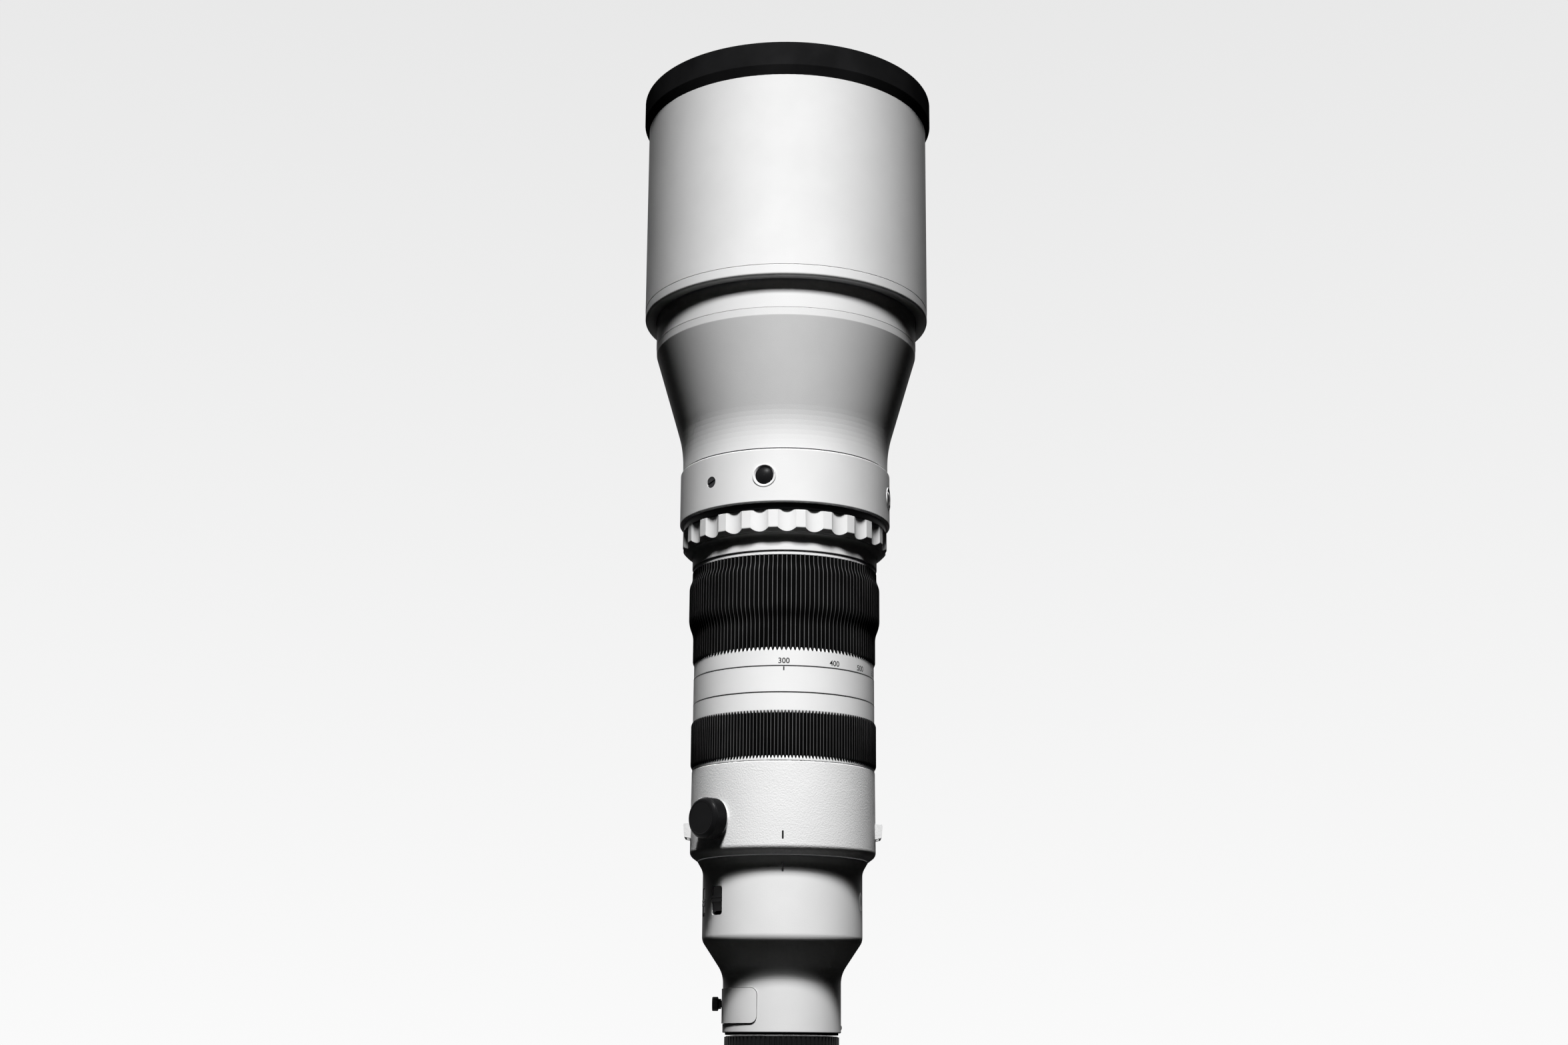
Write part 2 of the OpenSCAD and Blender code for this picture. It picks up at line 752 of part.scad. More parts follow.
module cam_tube() {
    color("silver") {
        difference() {
            tube(cam_r, cam_r - cam_wall, z_guide + 3 + seam, z_button - z_guide - 3 - 2 * seam);
            for (i = [0 : cam_pins - 1], k = [0 : cam_steps])
                rotate([0, 0, i * 360 / cam_pins + zoom_turn * k / cam_steps - 90])
                    translate([guide_r - 3, 0, z_zoom_pin + zoom_travel * k / cam_steps])
                        rotate([0, 90, 0]) cylinder(r = cam_pin_r + 0.6, h = 10);
        }
        intersection() {
            on_barrel(key_phi, z_key) translate([0, 0, cam_r - 1]) linear_extrude(height = 8)
                square([key_w, key_w], center = true);
            tube(ring_bore + key_depth, cam_r - cam_wall / 2, z_key - key_w, 2 * key_w);
        }
    }
}

module zoom_cell() {
    color("black") {
        turned([
            [cell_r, z_zoom_cell, 0.3], [cell_r, z_zoom_cell + zoom_cell_h, 0.3],
            [group_glass_d / 2 - 2, z_zoom_cell + zoom_cell_h, 0.3],
            [group_glass_d / 2 - 2, z_zoom_cell + zoom_cell_h - 2, 0],
            [group_glass_d / 2 + pin_gap, z_zoom_cell + zoom_cell_h - 2, 0],
            [group_glass_d / 2 + pin_gap, z_zoom_cell, 0]
        ]);
        for (i = [0 : cam_pins - 1])
            on_barrel(i * 360 / cam_pins, z_zoom_pin) disc(cam_pin_r, cell_r - 2, cam_r - cell_r + 1.6);
    }
}

module zoom_lens() {
    color("lightcyan") lens_blank(group_glass_d / 2, z_zoom_cell + 3, 10, zoom_curves[0], zoom_curves[1]);
}

module focus_rods() {
    color("silver") for (side = [0, 180])
        on_barrel(90 + side, 0) rotate([-90, 0, 0]) translate([0, -rod_pcr, z_web + web_t])
            cylinder(r = rod_r, h = z_iris - z_web - web_t);
}

module focus_cell() {
    color("black") difference() {
        union() {
            tube(group_glass_d / 2 + 4, group_glass_d / 2 + pin_gap, z_focus_cell, focus_cell_h);
            for (side = [-1, 1]) translate([side * rod_pcr, 0, z_focus_cell])
                difference() {
                    cylinder(r = rod_r + 3.2, h = focus_cell_h);
                    translate([0, 0, -1]) cylinder(r = rod_r + pin_gap, h = focus_cell_h + 2);
                }
            for (side = [-1, 1])
                translate([side * (group_glass_d / 2 + 4.6), 0, z_focus_cell + focus_cell_h / 2])
                    cube([4.4, 5, focus_cell_h], center = true);
        }
        disc(group_glass_d / 2 + pin_gap, z_focus_cell - 1, focus_cell_h + 2);
        for (side = [-1, 1]) translate([side * rod_pcr, 0, z_focus_cell - 1])
            cylinder(r = rod_r + pin_gap, h = focus_cell_h + 2);
    }
}

module focus_lens() {
    color("lightcyan") lens_blank(group_glass_d / 2, z_focus_cell + 3, 8, focus_curves[0], focus_curves[1]);
}

// Aperture unit: a housing in two halves with a stack of crescent blades between them
blade_count = 9;

module iris_unit() {
    color("black") {
        tube(tube_bore / 2 - pin_gap, group_glass_d / 2, z_iris, 2);
        tube(tube_bore / 2 - pin_gap, tube_bore / 2 - 4, z_iris + 2, iris_t - 4);
        tube(tube_bore / 2 - pin_gap, group_glass_d / 2, z_iris + iris_t - 2, 2);
    }
    color("dimgray") for (i = [0 : blade_count - 1])
        translate([0, 0, z_iris + 2.1 + i * 0.42]) rotate([0, 0, i * 360 / blade_count])
            linear_extrude(height = 0.3) difference() {
                translate([13, 0]) circle(r = 31);
                translate([9, 0]) circle(r = 27.5);
                translate([-far, 0]) square(2 * far);
            }
}

// Stabiliser: the frame shifts along X, and carries the cell, which shifts along Y
stab_shift = 1.5;
frame_t = 3.2;
z_frame = z_web - seam - frame_t;
stab_glass_r = 24;

module stabiliser_frame() {
    color("gray") tube(spigot_r - spigot_wall - stab_shift - 1, stab_glass_r + stab_shift + 1, z_frame, frame_t);
}

module stabiliser_cell() {
    color("black") tube(stab_glass_r + 6, stab_glass_r + pin_gap, z_frame - seam - 6, 6);
}

module stabiliser_lens() {
    color("lightcyan") lens_blank(stab_glass_r, z_frame - seam - 5.5, 5, stabiliser_curves[0], stabiliser_curves[1]);
}

// Tripod collar and foot

module collar() {
    color("gainsboro") difference() {
        union() {
            turned([
                [ring_bore, z_collar, 0.3], [flare_d / 2 + 0.3, z_collar, 0.6],
                [collar_d / 2, z_collar + 3.4, 4.4], [collar_top_d / 2, z_collar + collar_len, 0.5],
                [ring_bore, z_collar + collar_len, 0.3]
            ]);
            on_barrel(180, z_pad) linear_extrude(height = pad_r) round_slab(pad_w, pad_h, 5);
            on_barrel(knob_phi, z_knob) disc(knob_d / 2 - 1.2, ring_bore - 2, knob_seat - ring_bore + 2);
            for (side = [-90, 90]) on_barrel(side, z_lug) strap_lug();
        }
        disc(ring_bore, z_collar - 1, collar_len + 2);
        on_barrel(knob_phi, z_knob) disc(knob_shank_r + pin_gap, ring_bore - 4, 20);
        foot_screw_places() disc(foot_screw_r + pin_gap, foot_screw_tip - 1, 20);
    }
}

knob_shank_r = 3;
knob_seat = collar_d / 2 + 0.3;

// Bridge for a strap: a low block with its under edge sloped and a slot along the lens
module strap_lug() {
    lug_w = 17;
    slot_w = 10;
    bar_t = 1.9;
    difference() {
        rotate([0, -90, 0]) linear_extrude(height = lug_w, center = true) polygon(rounded([
            [ring_bore + 1, -lug_h / 2 - 0.8, 0], [lug_r - 0.6, -lug_h / 2 + 0.8, 0.6],
            [lug_r, lug_h / 2, 0.9], [ring_bore + 1, lug_h / 2, 0]
        ]));
        translate([-slot_w / 2, -lug_h, collar_d / 2 + 0.1])
            cube([slot_w, 2 * lug_h, lug_r - bar_t - collar_d / 2 - 0.1]);
    }
}

module foot_screw_places() {
    for (x = [-1, 1], y = [-1, 1])
        on_barrel(180, z_pad) translate([x * (pad_w / 2 - 6), y * (pad_h / 2 - 7), 0]) children();
}

foot_screw_r = 2;
foot_screw_head_r = 3.6;
foot_screw_tip = pad_r - 7;

module foot() {
    neck_w = foot_w / 2 - 3.5;
    bevel = 3.5;
    color("gainsboro") difference() {
        union() {
            on_barrel(180, z_pad) translate([0, 0, pad_r]) linear_extrude(height = foot_r - pad_r - foot_t + 1)
                round_slab(pad_w, pad_h, 5);
            intersection() {
                translate([0, 0, z_foot]) linear_extrude(height = foot_len) polygon([
                    [-neck_w, foot_r - foot_t], [neck_w, foot_r - foot_t],
                    [neck_w, foot_r - 3 - bevel], [foot_w / 2, foot_r - 3],
                    [foot_w / 2, foot_r - 1], [foot_w / 2 - 1, foot_r],
                    [-foot_w / 2 + 1, foot_r], [-foot_w / 2, foot_r - 1],
                    [-foot_w / 2, foot_r - 3], [-neck_w, foot_r - 3 - bevel]
                ]);
                on_barrel(180, z_foot + foot_len / 2) linear_extrude(height = 2 * foot_r)
                    round_slab(foot_w + 1, foot_len, 6);
            }
        }
        foot_screw_places() {
            disc(foot_screw_head_r + slide_gap, foot_r - 4.2, 10);
            disc(foot_screw_r + pin_gap, pad_r - 1, foot_r);
        }
        on_barrel(180, z_pad + thread_up) disc(three_eighths_d / 2, foot_r - 2 * foot_t, 3 * foot_t);
        on_barrel(180, z_pad + thread_up + thread_pitch) disc(quarter_d / 2, foot_r - 2 * foot_t, 3 * foot_t);
        for (z = [z_foot + 6, z_foot + foot_len - 6])
            translate([0, 0, z]) rotate([-90, 0, 0]) disc(2, foot_r - 1.2, 4);
    }
}

thread_up = 32;
thread_pitch = 22;

module foot_screws() {
    color("dimgray") foot_screw_places() difference() {
        union() {
            disc(foot_screw_r, foot_screw_tip, foot_r - 4.2 - foot_screw_tip);
            disc(foot_screw_head_r, foot_r - 4.2, 3.4);
        }
        translate([0, 0, foot_r - 2.6]) cylinder(r = 1.7, h = 4, $fn = 6);
    }
}

module collar_knob() {
    head_h = knob_r - knob_seat - run_gap;
    color("black") on_barrel(knob_phi, z_knob) {
        disc(knob_shank_r, ring_bore + 0.3, knob_seat - ring_bore + 1);
        translate([0, 0, knob_seat + run_gap]) {
            linear_extrude(height = head_h - 2.2)
                polygon(rib_ring(knob_teeth, knob_d / 2 - 0.7, knob_d / 2, 0.38));
            turned([
                [0, 0, 0], [knob_d / 2 - 1.6, 0, 0], [knob_d / 2 - 1.6, head_h - 2.3, 0],
                [knob_d / 2 - 0.1, head_h - 2.2, 0.3], [knob_d / 2 - 0.1, head_h - 1.3, 0.3],
                [knob_d / 2 - 1.6, head_h, 0.3], [0, head_h, 0]
            ]);
        }
    }
}

// Focus ring, index band and zoom ring

module focus_ring() {
    z_grip = z_focus + focus_grip_up;
    color("gainsboro") turned([
        [ring_bore, z_focus, 0.3], [focus_d / 2, z_focus, 0.4], [focus_d / 2, z_grip, 0],
        [focus_d / 2 - 1.4, z_grip, 0], [focus_d / 2 - 1.4, z_grip + focus_grip_len, 0],
        [focus_d / 2, z_grip + focus_grip_len, 0], [focus_d / 2, z_focus + focus_len, 0.4],
        [ring_bore, z_focus + focus_len, 0.3]
    ]);
}

module focus_grip() {
    z_grip = z_focus + focus_grip_up;
    color("black") translate([0, 0, z_grip]) linear_extrude(height = focus_grip_len) difference() {
        polygon(rib_ring(focus_ribs, focus_grip_d / 2 - rib_depth, focus_grip_d / 2, rib_crest, rib_flank));
        circle(r = focus_d / 2 - 1.4);
    }
}

module index_band() {
    color("gainsboro") turned([
        [tube_d / 2, z_index, 0], [index_d / 2, z_index, 0.4], [index_d / 2, z_index + index_len, 0.3],
        [tube_d / 2, z_index + index_len, 0]
    ]);
}

z_zoom_grip = z_zoom + zoom_grip_up;
z_zoom_strip = z_zoom + zoom_len - zoom_strip;
grip_seat = zoom_d / 2 - 1.2;

module zoom_ring() {
    color("gainsboro") difference() {
        turned([
            [ring_bore, z_zoom, 0.3], [zoom_d / 2, z_zoom, 0.4], [zoom_d / 2, z_zoom_grip, 0],
            [grip_seat, z_zoom_grip, 0], [grip_seat, z_zoom_strip, 0], [grip_top_d / 2 - 0.6, z_zoom_strip, 0],
            [grip_top_d / 2 - 0.6, z_zoom + zoom_len, 0.4], [ring_bore, z_zoom + zoom_len, 0.3]
        ]);
        on_barrel(key_phi, z_key) translate([0, 0, ring_bore - 2]) linear_extrude(height = 2 + key_depth + 0.1)
            square([key_w + 0.2, key_w + 0.2], center = true);
    }
}

// Heights on the zoom rubber where the raised part rises and falls back
z_rise = z_zoom_strip - 40;
z_raised = z_zoom_strip - 32.6;
z_fall = z_zoom_strip - 9.5;
z_fallen = z_zoom_strip - 5.4;

// Ribs round one straight stretch of the zoom rubber
module zoom_rib_band(d, z0, z1) {
    translate([0, 0, z0]) linear_extrude(height = z1 - z0) difference() {
        polygon(rib_ring(zoom_ribs, d / 2 - rib_depth + 0.02, d / 2, rib_crest, rib_flank));
        circle(r = grip_seat + 0.1);
    }
}

module zoom_grip() {
    color("black") {
        turned([
            [grip_seat, z_zoom_grip, 0], [grip_low_d / 2 - rib_depth, z_zoom_grip, 0],
            [grip_low_d / 2 - rib_depth, z_rise, 5], [grip_high_d / 2 - rib_depth, z_raised, 5],
            [grip_high_d / 2 - rib_depth, z_fall, 3], [grip_top_d / 2 - rib_depth, z_fallen, 3],
            [grip_top_d / 2 - rib_depth, z_zoom_strip, 0], [grip_seat, z_zoom_strip, 0]
        ]);
        zoom_rib_band(grip_low_d, z_zoom_grip, z_rise);
        zoom_rib_band(grip_high_d, z_raised, z_fall);
        zoom_rib_band(grip_top_d, z_fallen, z_zoom_strip);
    }
}

// Neck, function ring and button section

sleeve_r = function_d / 2 - 4.05;

module neck_sleeve() {
    color("gainsboro") turned([
        [tube_d / 2, z_neck, 0], [neck_d / 2, z_neck, 0.4], [neck_d / 2, z_neck + neck_len, 3],
        [sleeve_r, z_neck + neck_len, 0], [sleeve_r, z_trim, 0], [sleeve_r - wall, z_trim, 0],
        [sleeve_r - wall, z_neck + neck_len + 1, 0], [tube_d / 2, z_neck + neck_len + 1, 0]
    ]);
}

module function_ring() {
    flute_curve = (pow(flute_w / 2, 2) + pow(flute_depth, 2)) / (2 * flute_depth);
    color("white") difference() {
        turned([
            [sleeve_r + run_gap, z_function, 0.3], [function_d / 2 - function_chamfer, z_function, 0.2],
            [function_d / 2, z_function + function_chamfer, 1.2], [function_d / 2, z_function + function_len, 0.3],
            [sleeve_r + run_gap, z_function + function_len, 0.3]
        ]);
        for (i = [0 : flutes - 1]) rotate([0, 0, flute_phi + i * 360 / flutes])
            translate([function_d / 2 - flute_depth + flute_curve, 0, z_function - 1])
                cylinder(r = flute_curve, h = function_len + 2);
    }
}

module trim_ring() {
    color("black") turned([
        [sleeve_r - wall, z_trim, 0], [trim_d / 2, z_trim, 0.4], [trim_d / 2, z_button, 0],
        [sleeve_r - wall, z_button, 0]
    ]);
}

module button_housing() {
    inner = button_sec_d / 2 - 4;
    color("gainsboro") difference() {
        turned([
            [tube_d / 2, z_button, 0], [button_sec_d / 2, z_button, 0.8], [button_sec_d / 2, z_front, 0.7],
            [front_neck_d / 2 + 0.3, z_front, 0], [inner, z_front, 0], [inner, z_button + 6, 0],
            [tube_d / 2, z_button + 6, 0]
        ]);
        dome_places() disc(dome_bezel_d / 2 + pin_gap, inner - 2, 10);
        slot_screw_places() disc(slot_screw_d / 2 + pin_gap, inner - 2, 10);
    }
}

module dome_places() {
    for (i = [0 : 3]) on_barrel(dome_phi + 90 * i, z_dome) children();
}

module slot_screw_places() {
    for (i = [0, 1]) on_barrel(slot_screw_phi + 180 * i, z_dome) children();
}

module button_bezels() {
    bore = dome_d / 2 + slide_gap;
    color("gainsboro") dome_places() turned([
        [bore, button_sec_d / 2 - 4, 0], [dome_bezel_d / 2, button_sec_d / 2 - 4, 0],
        [dome_bezel_d / 2, button_sec_d / 2 + bezel_lip, 0.3],
        [dome_bezel_d / 2 - 0.8, button_sec_d / 2 + bezel_lip, 0.3],
        [bore, button_sec_d / 2 - 0.5, 0.1]
    ]);
}

// One domed button standing in its collar, with a flange behind it that stops it coming out
module hold_button(i) {
    dome_h = dome_proud + press_travel;
    dome_curve = (pow(dome_d / 2, 2) + pow(dome_h, 2)) / (2 * dome_h);
    top = button_sec_d / 2 + dome_proud;
    color("black") on_barrel(dome_phi + 90 * i, z_dome) rotate_extrude() {
        intersection() {
            translate([0, button_sec_d / 2 - 5]) square([dome_d / 2, 6 + dome_proud]);
            translate([0, top - dome_curve]) circle(r = dome_curve, $fn = 360);
        }
        translate([0, button_sec_d / 2 - 6]) square([dome_d / 2 + 1.2, 1.6]);
    }
}

module hold_button_1() {
    hold_button(0);
}

module hold_button_2() {
    hold_button(1);
}

module hold_button_3() {
    hold_button(2);
}

module hold_button_4() {
    hold_button(3);
}

module housing_screws() {
    color("dimgray") slot_screw_places() difference() {
        disc(slot_screw_d / 2, button_sec_d / 2 - 4, 3.6);
        rotate([0, 0, 20]) translate([0, 0, button_sec_d / 2]) cube([slot_screw_d + 1, 1.2, 2.4], center = true);
    }
}

// Front barrel, front ring and glass

front_inner = front_neck_d / 2 - wall;

module front_barrel() {
    color("gainsboro") turned([
        [front_neck_d / 2, z_front, 0.3], [front_neck_d / 2, z_cone, cone_bend], [front_d / 2 - 0.3, z_band, 2],
        [front_d / 2 - 0.1, z_ring, 0.2], [front_d / 2 - wall, z_ring, 0], [front_d / 2 - wall - 1.3, z_band, 0],
        [front_inner, z_cone + 2, 0], [front_inner, z_front - 8, 0], [front_inner - 3, z_front - 8, 0],
        [front_inner - 3, z_front - 10, 0], [button_sec_d / 2 - 4 - pin_gap, z_front - 10, 0],
        [button_sec_d / 2 - 4 - pin_gap, z_front, 0]
    ]);
}

front_ring_wall = 4;
cell_out = front_d / 2 - front_ring_wall - pin_gap;
z_glass = z_face - 10 - front_glass_t;

module front_ring() {
    color("gainsboro") turned([
        [front_d / 2, z_ring, 0.2], [front_d / 2, z_face, 0.8],
        [front_d / 2 - front_ring_wall, z_face, 0.5], [front_d / 2 - front_ring_wall, z_ring, 0]
    ]);
}

module front_cell() {
    color("black") turned([
        [cell_out, z_ring + 1, 0], [cell_out, z_face - 3, 0.3], [front_glass_d / 2 - 2, z_face - 3, 0],
        [front_glass_d / 2 - 2, z_face - 10 + seam, 0], [front_glass_d / 2 + pin_gap, z_face - 10 + seam, 0],
        [front_glass_d / 2 + pin_gap, z_glass, 0], [second_glass_d / 2 + pin_gap, z_glass, 0],
        [second_glass_d / 2 + pin_gap, z_ring + 1, 0]
    ]);
}

module front_element() {
    color("lightcyan")
        lens_blank(front_glass_d / 2, z_glass + seam, front_glass_t - seam, front_glass_curve, front_back_curve);
}

module second_element() {
    color("lightcyan")
        lens_blank(second_glass_d / 2, z_ring + 2, z_glass - z_ring - 2.5, second_curves[0], second_curves[1]);
}

// Hood

hood_bore = hood_d / 2 - hood_wall;
rim_lip = 10;
rim_floor = 3.5;
z_tube_top = z_rim_top - rim_floor;
hood_knob_shank_r = 3;

module hood_tube() {
    color("gainsboro") difference() {
        tube(hood_d / 2, hood_bore, z_hood + hood_base_h + 0.1, z_tube_top - z_hood - hood_base_h - 0.1);
        on_barrel(180, z_hood_knob) disc(hood_knob_shank_r + slide_gap, hood_bore - 5, 10);
    }
}

module hood_base() {
    color("gainsboro") difference() {
        turned([
            [front_d / 2 + run_gap, z_hood, 0.5], [hood_d / 2 - 0.1, z_hood, 1.6],
            [hood_d / 2 - 0.1, z_hood + hood_base_h - 0.1, 0.3], [hood_bore - pin_gap, z_hood + hood_base_h - 0.1, 0],
            [hood_bore - pin_gap, z_face + 2, 0.4], [front_d / 2 + run_gap, z_face + 2, 0.4]
        ]);
        on_barrel(180, z_hood_knob) disc(hood_knob_shank_r + pin_gap, front_d / 2 - 2, 20);
    }
}

module hood_rim() {
    color("black") turned([
        [hood_d / 2, z_rim, 0], [rim_d / 2, z_rim + rim_chamfer, 0.8], [rim_d / 2, z_rim_top, 1.2],
        [hood_bore - 1.1, z_rim_top, 1.2], [hood_bore - 1.1, z_rim_top - rim_lip, 0.4],
        [hood_bore, z_rim_top - rim_lip, 0], [hood_bore, z_tube_top, 0], [hood_d / 2, z_tube_top, 0]
    ]);
}

module hood_lining() {
    color("black")
        tube(hood_bore, hood_bore - lining_t, z_face + 2, z_rim_top - rim_lip - z_face - 2);
}

module hood_knob() {
    seat = hood_d / 2 + run_gap + 0.1;
    color("black") on_barrel(180, z_hood_knob) {
        disc(hood_knob_shank_r, front_d / 2 + run_gap, seat - front_d / 2 + 1);
        translate([0, 0, seat]) {
            linear_extrude(height = hood_knob_len - 1.5)
                polygon(rib_ring(40, hood_knob_d / 2 - 0.6, hood_knob_d / 2, 0.38));
            turned([
                [0, 0, 0], [hood_knob_d / 2 - 1.2, 0, 0], [hood_knob_d / 2 - 1.2, hood_knob_len, 0.8],
                [0, hood_knob_len, 0]
            ]);
        }
    }
}

// Rear cap

cap_top = -seam;
z_cap = cap_top - cap_h;

module rear_cap() {
    cap_bore = lug_d / 2 + 1.2;
    color("black") {
        difference() {
            union() {
                translate([0, 0, z_cap + 2]) linear_extrude(height = cap_h - 2.5)
                    polygon(rib_ring(cap_ribs, cap_d / 2 - 0.7, cap_d / 2, 0.48));
                turned([
                    [0, z_cap, 0], [cap_d / 2 - 0.7, z_cap, 0.8], [cap_d / 2 - 0.7, cap_top, 0.5], [0, cap_top, 0]
                ]);
            }
            disc(cap_bore, z_cap + cap_floor, cap_h);
        }
        for (i = [0 : lug_count - 1])
            arc_wall(cap_bore + 0.5, skirt_d / 2 + 0.6, cap_top - 2, 1.4,
                i * 360 / lug_count + 2, i * 360 / lug_count + lug_span - 2);
    }
}

mount_flange();
mount_screws();
mount_gasket();
index_bead();
rear_baffle();
contact_pins();
rear_barrel();
control_bezels();
rear_cell();
rear_element();
circuit_board();
main_tube();
index_band();
neck_sleeve();
button_housing();
trim_ring();
button_bezels();
housing_screws();
front_barrel();
front_ring();
front_cell();
front_element();
second_element();
guide_tube();
focus_rods();
iris_unit();
filter_holder();
filter_glass();
filter_knob();
collar();
foot();
foot_screws();
collar_knob();
focus_ring();
focus_grip();
zoom_ring();
zoom_grip();
cam_tube();
zoom_cell();
zoom_lens();
focus_cell();
focus_lens();
stabiliser_frame();
stabiliser_cell();
stabiliser_lens();
function_ring();
focus_switch();
limit_switch();
steady_switch();
set_button();
hold_button_1();
hold_button_2();
hold_button_3();
hold_button_4();
hood_tube();
hood_base();
hood_rim();
hood_lining();
hood_knob();
rear_cap();
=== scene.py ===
"""Looks of the camera zoom lens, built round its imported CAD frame.

Sizes in the tables are millimetres in the row frame: Z runs along the lens from the mount's face to the hood, and
phi is the angle round the barrel, 0 towards the camera (-Y) and positive towards +X.
"""

import math

import bpy
import numpy as np
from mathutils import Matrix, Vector

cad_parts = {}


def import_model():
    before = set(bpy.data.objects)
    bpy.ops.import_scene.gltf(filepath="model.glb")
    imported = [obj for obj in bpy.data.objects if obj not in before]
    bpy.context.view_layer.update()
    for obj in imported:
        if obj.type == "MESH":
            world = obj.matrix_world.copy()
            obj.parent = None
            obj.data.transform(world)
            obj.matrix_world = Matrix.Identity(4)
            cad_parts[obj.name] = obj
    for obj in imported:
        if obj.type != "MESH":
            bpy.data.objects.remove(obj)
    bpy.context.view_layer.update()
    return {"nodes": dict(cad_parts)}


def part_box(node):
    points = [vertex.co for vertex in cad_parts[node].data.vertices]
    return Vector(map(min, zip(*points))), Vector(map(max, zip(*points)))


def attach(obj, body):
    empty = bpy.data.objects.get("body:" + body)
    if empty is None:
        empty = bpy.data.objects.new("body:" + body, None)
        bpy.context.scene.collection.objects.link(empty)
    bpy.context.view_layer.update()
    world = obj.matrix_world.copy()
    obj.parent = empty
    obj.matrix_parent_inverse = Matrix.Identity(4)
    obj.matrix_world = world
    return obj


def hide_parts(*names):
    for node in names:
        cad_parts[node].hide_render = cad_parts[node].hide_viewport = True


MM = 0.001
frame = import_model()
NODES = frame["nodes"]


# Node tools


class Surface:
    """A material under construction: a Principled shader plus helpers for the nodes that feed it."""

    def __init__(self, name, colour, rough, metal=0.0, **sockets):
        self.mat = bpy.data.materials.new(name)
        self.mat.use_nodes = True
        self.tree = self.mat.node_tree
        self.shader = self.tree.nodes["Principled BSDF"]
        self.set("Base Color", colour)
        self.set("Roughness", rough)
        self.set("Metallic", metal)
        for key, value in sockets.items():
            self.set(key.replace("_", " "), value)
        self.place = self.node("ShaderNodeTexCoord").outputs["Object"]

    def set(self, socket, value):
        if isinstance(value, tuple) and len(value) == 3:
            value = (*value, 1.0)
        self.shader.inputs[socket].default_value = value

    def node(self, kind, **settings):
        made = self.tree.nodes.new(kind)
        for key, value in settings.items():
            if hasattr(made, key) and not isinstance(value, (tuple, float)):
                setattr(made, key, value)
            else:
                made.inputs[key].default_value = value
        return made

    def link(self, a, b):
        self.tree.links.new(a, b)

    def noise(self, size_mm, detail=2.0, rough=0.5, stretch=None):
        """Noise whose grains are about size_mm across, in the piece's own space."""
        made = self.node("ShaderNodeTexNoise", Scale=1.0 / (size_mm * MM), Detail=detail, Roughness=rough)
        source = self.place
        if stretch:
            move = self.node("ShaderNodeMapping")
            move.inputs["Scale"].default_value = stretch
            self.link(source, move.inputs["Vector"])
            source = move.outputs["Vector"]
        self.link(source, made.inputs["Vector"])
        return made.outputs["Fac"]

    def ramp(self, source, low, high, a, b):
        """Remaps a value from low..high to a..b."""
        made = self.node("ShaderNodeMapRange")
        for key, value in (("From Min", low), ("From Max", high), ("To Min", a), ("To Max", b)):
            made.inputs[key].default_value = value
        self.link(source, made.inputs["Value"])
        return made.outputs["Result"]

    def tint(self, source, dark, light):
        """Colour between dark and light as source goes from 0 to 1."""
        made = self.node("ShaderNodeMix", data_type="RGBA")
        self.link(source, made.inputs["Factor"])
        made.inputs[6].default_value = (*dark, 1.0)
        made.inputs[7].default_value = (*light, 1.0)
        self.link(made.outputs[2], self.shader.inputs["Base Color"])

    def roughness(self, source, a, b):
        self.link(self.ramp(source, 0.3, 0.7, a, b), self.shader.inputs["Roughness"])

    def bump(self, *layers):
        """Each layer is (height source, depth in mm)."""
        previous = None
        for source, depth in layers:
            made = self.node("ShaderNodeBump", Strength=1.0, Distance=depth * MM)
            self.link(source, made.inputs["Height"])
            if previous:
                self.link(previous, made.inputs["Normal"])
            previous = made.outputs["Normal"]
        self.link(previous, self.shader.inputs["Normal"])


SLOW_MM = 23.0


def grained(name, colour, rough, grain_mm, depth_mm, spread=0.06, metal=0.0, stretch=None, **sockets):
    """A plain finish with fine grain in its relief, and changes in its colour and gloss over SLOW_MM."""
    s = Surface(name, colour, rough, metal, **sockets)
    grain = s.noise(grain_mm, detail=3.0, stretch=stretch)
    slow = s.noise(SLOW_MM, detail=4.0)
    s.tint(s.ramp(slow, 0.35, 0.65, 0.0, 1.0), tuple(c * (1 - spread) for c in colour),
           tuple(min(1.0, c * (1 + spread)) for c in colour))
    s.roughness(slow, rough - 0.05, rough + 0.06)
    s.bump((grain, depth_mm))
    return s.mat


WHITE = 0.80

# Each call: name, colour, roughness, size and depth of the grain in mm, spread of the colour, metal
PAINT = grained("white_paint", (WHITE,) * 3, 0.5, 0.42, 0.04, 0.015, Specular_IOR_Level=0.0)
WRINKLE = grained("wrinkle_paint", (WHITE * 0.97,) * 3, 0.55, 0.9, 0.17, 0.02, Specular_IOR_Level=0.0)
RUBBER = grained("grip_rubber", (0.0035, 0.0035, 0.0036), 0.6, 0.5, 0.012, 0.2, Specular_IOR_Level=0.0)
# Lighter rubber for the rib crests: a painted highlight, standing in for the key light caught on the crests.
RUB_CREST_HIGHLIGHT = grained("rubber_crest_highlight", (0.11, 0.11, 0.112), 0.5, 0.5, 0.012, 0.2, Specular_IOR_Level=0.0)
RIM_RUBBER = grained("rim_rubber", (0.014, 0.014, 0.0145), 0.62, 0.6, 0.02, 0.2, Specular_IOR_Level=0.0)
ANODISED = grained("black_anodised", (0.006, 0.006, 0.0065), 0.4, 0.25, 0.006, 0.15, Specular_IOR_Level=0.02)
KNOB_BLACK = grained("knob_black", (0.006, 0.006, 0.0065), 0.34, 0.25, 0.006, 0.15, Specular_IOR_Level=0.045)
SCREW_BLACK = grained("screw_black", (0.035, 0.035, 0.037), 0.35, 0.3, 0.004, 0.1, 0.5, Specular_IOR_Level=0.1)
PLASTIC = grained("black_plastic", (0.010, 0.010, 0.0105), 0.46, 0.5, 0.012, 0.15, Specular_IOR_Level=0.05)
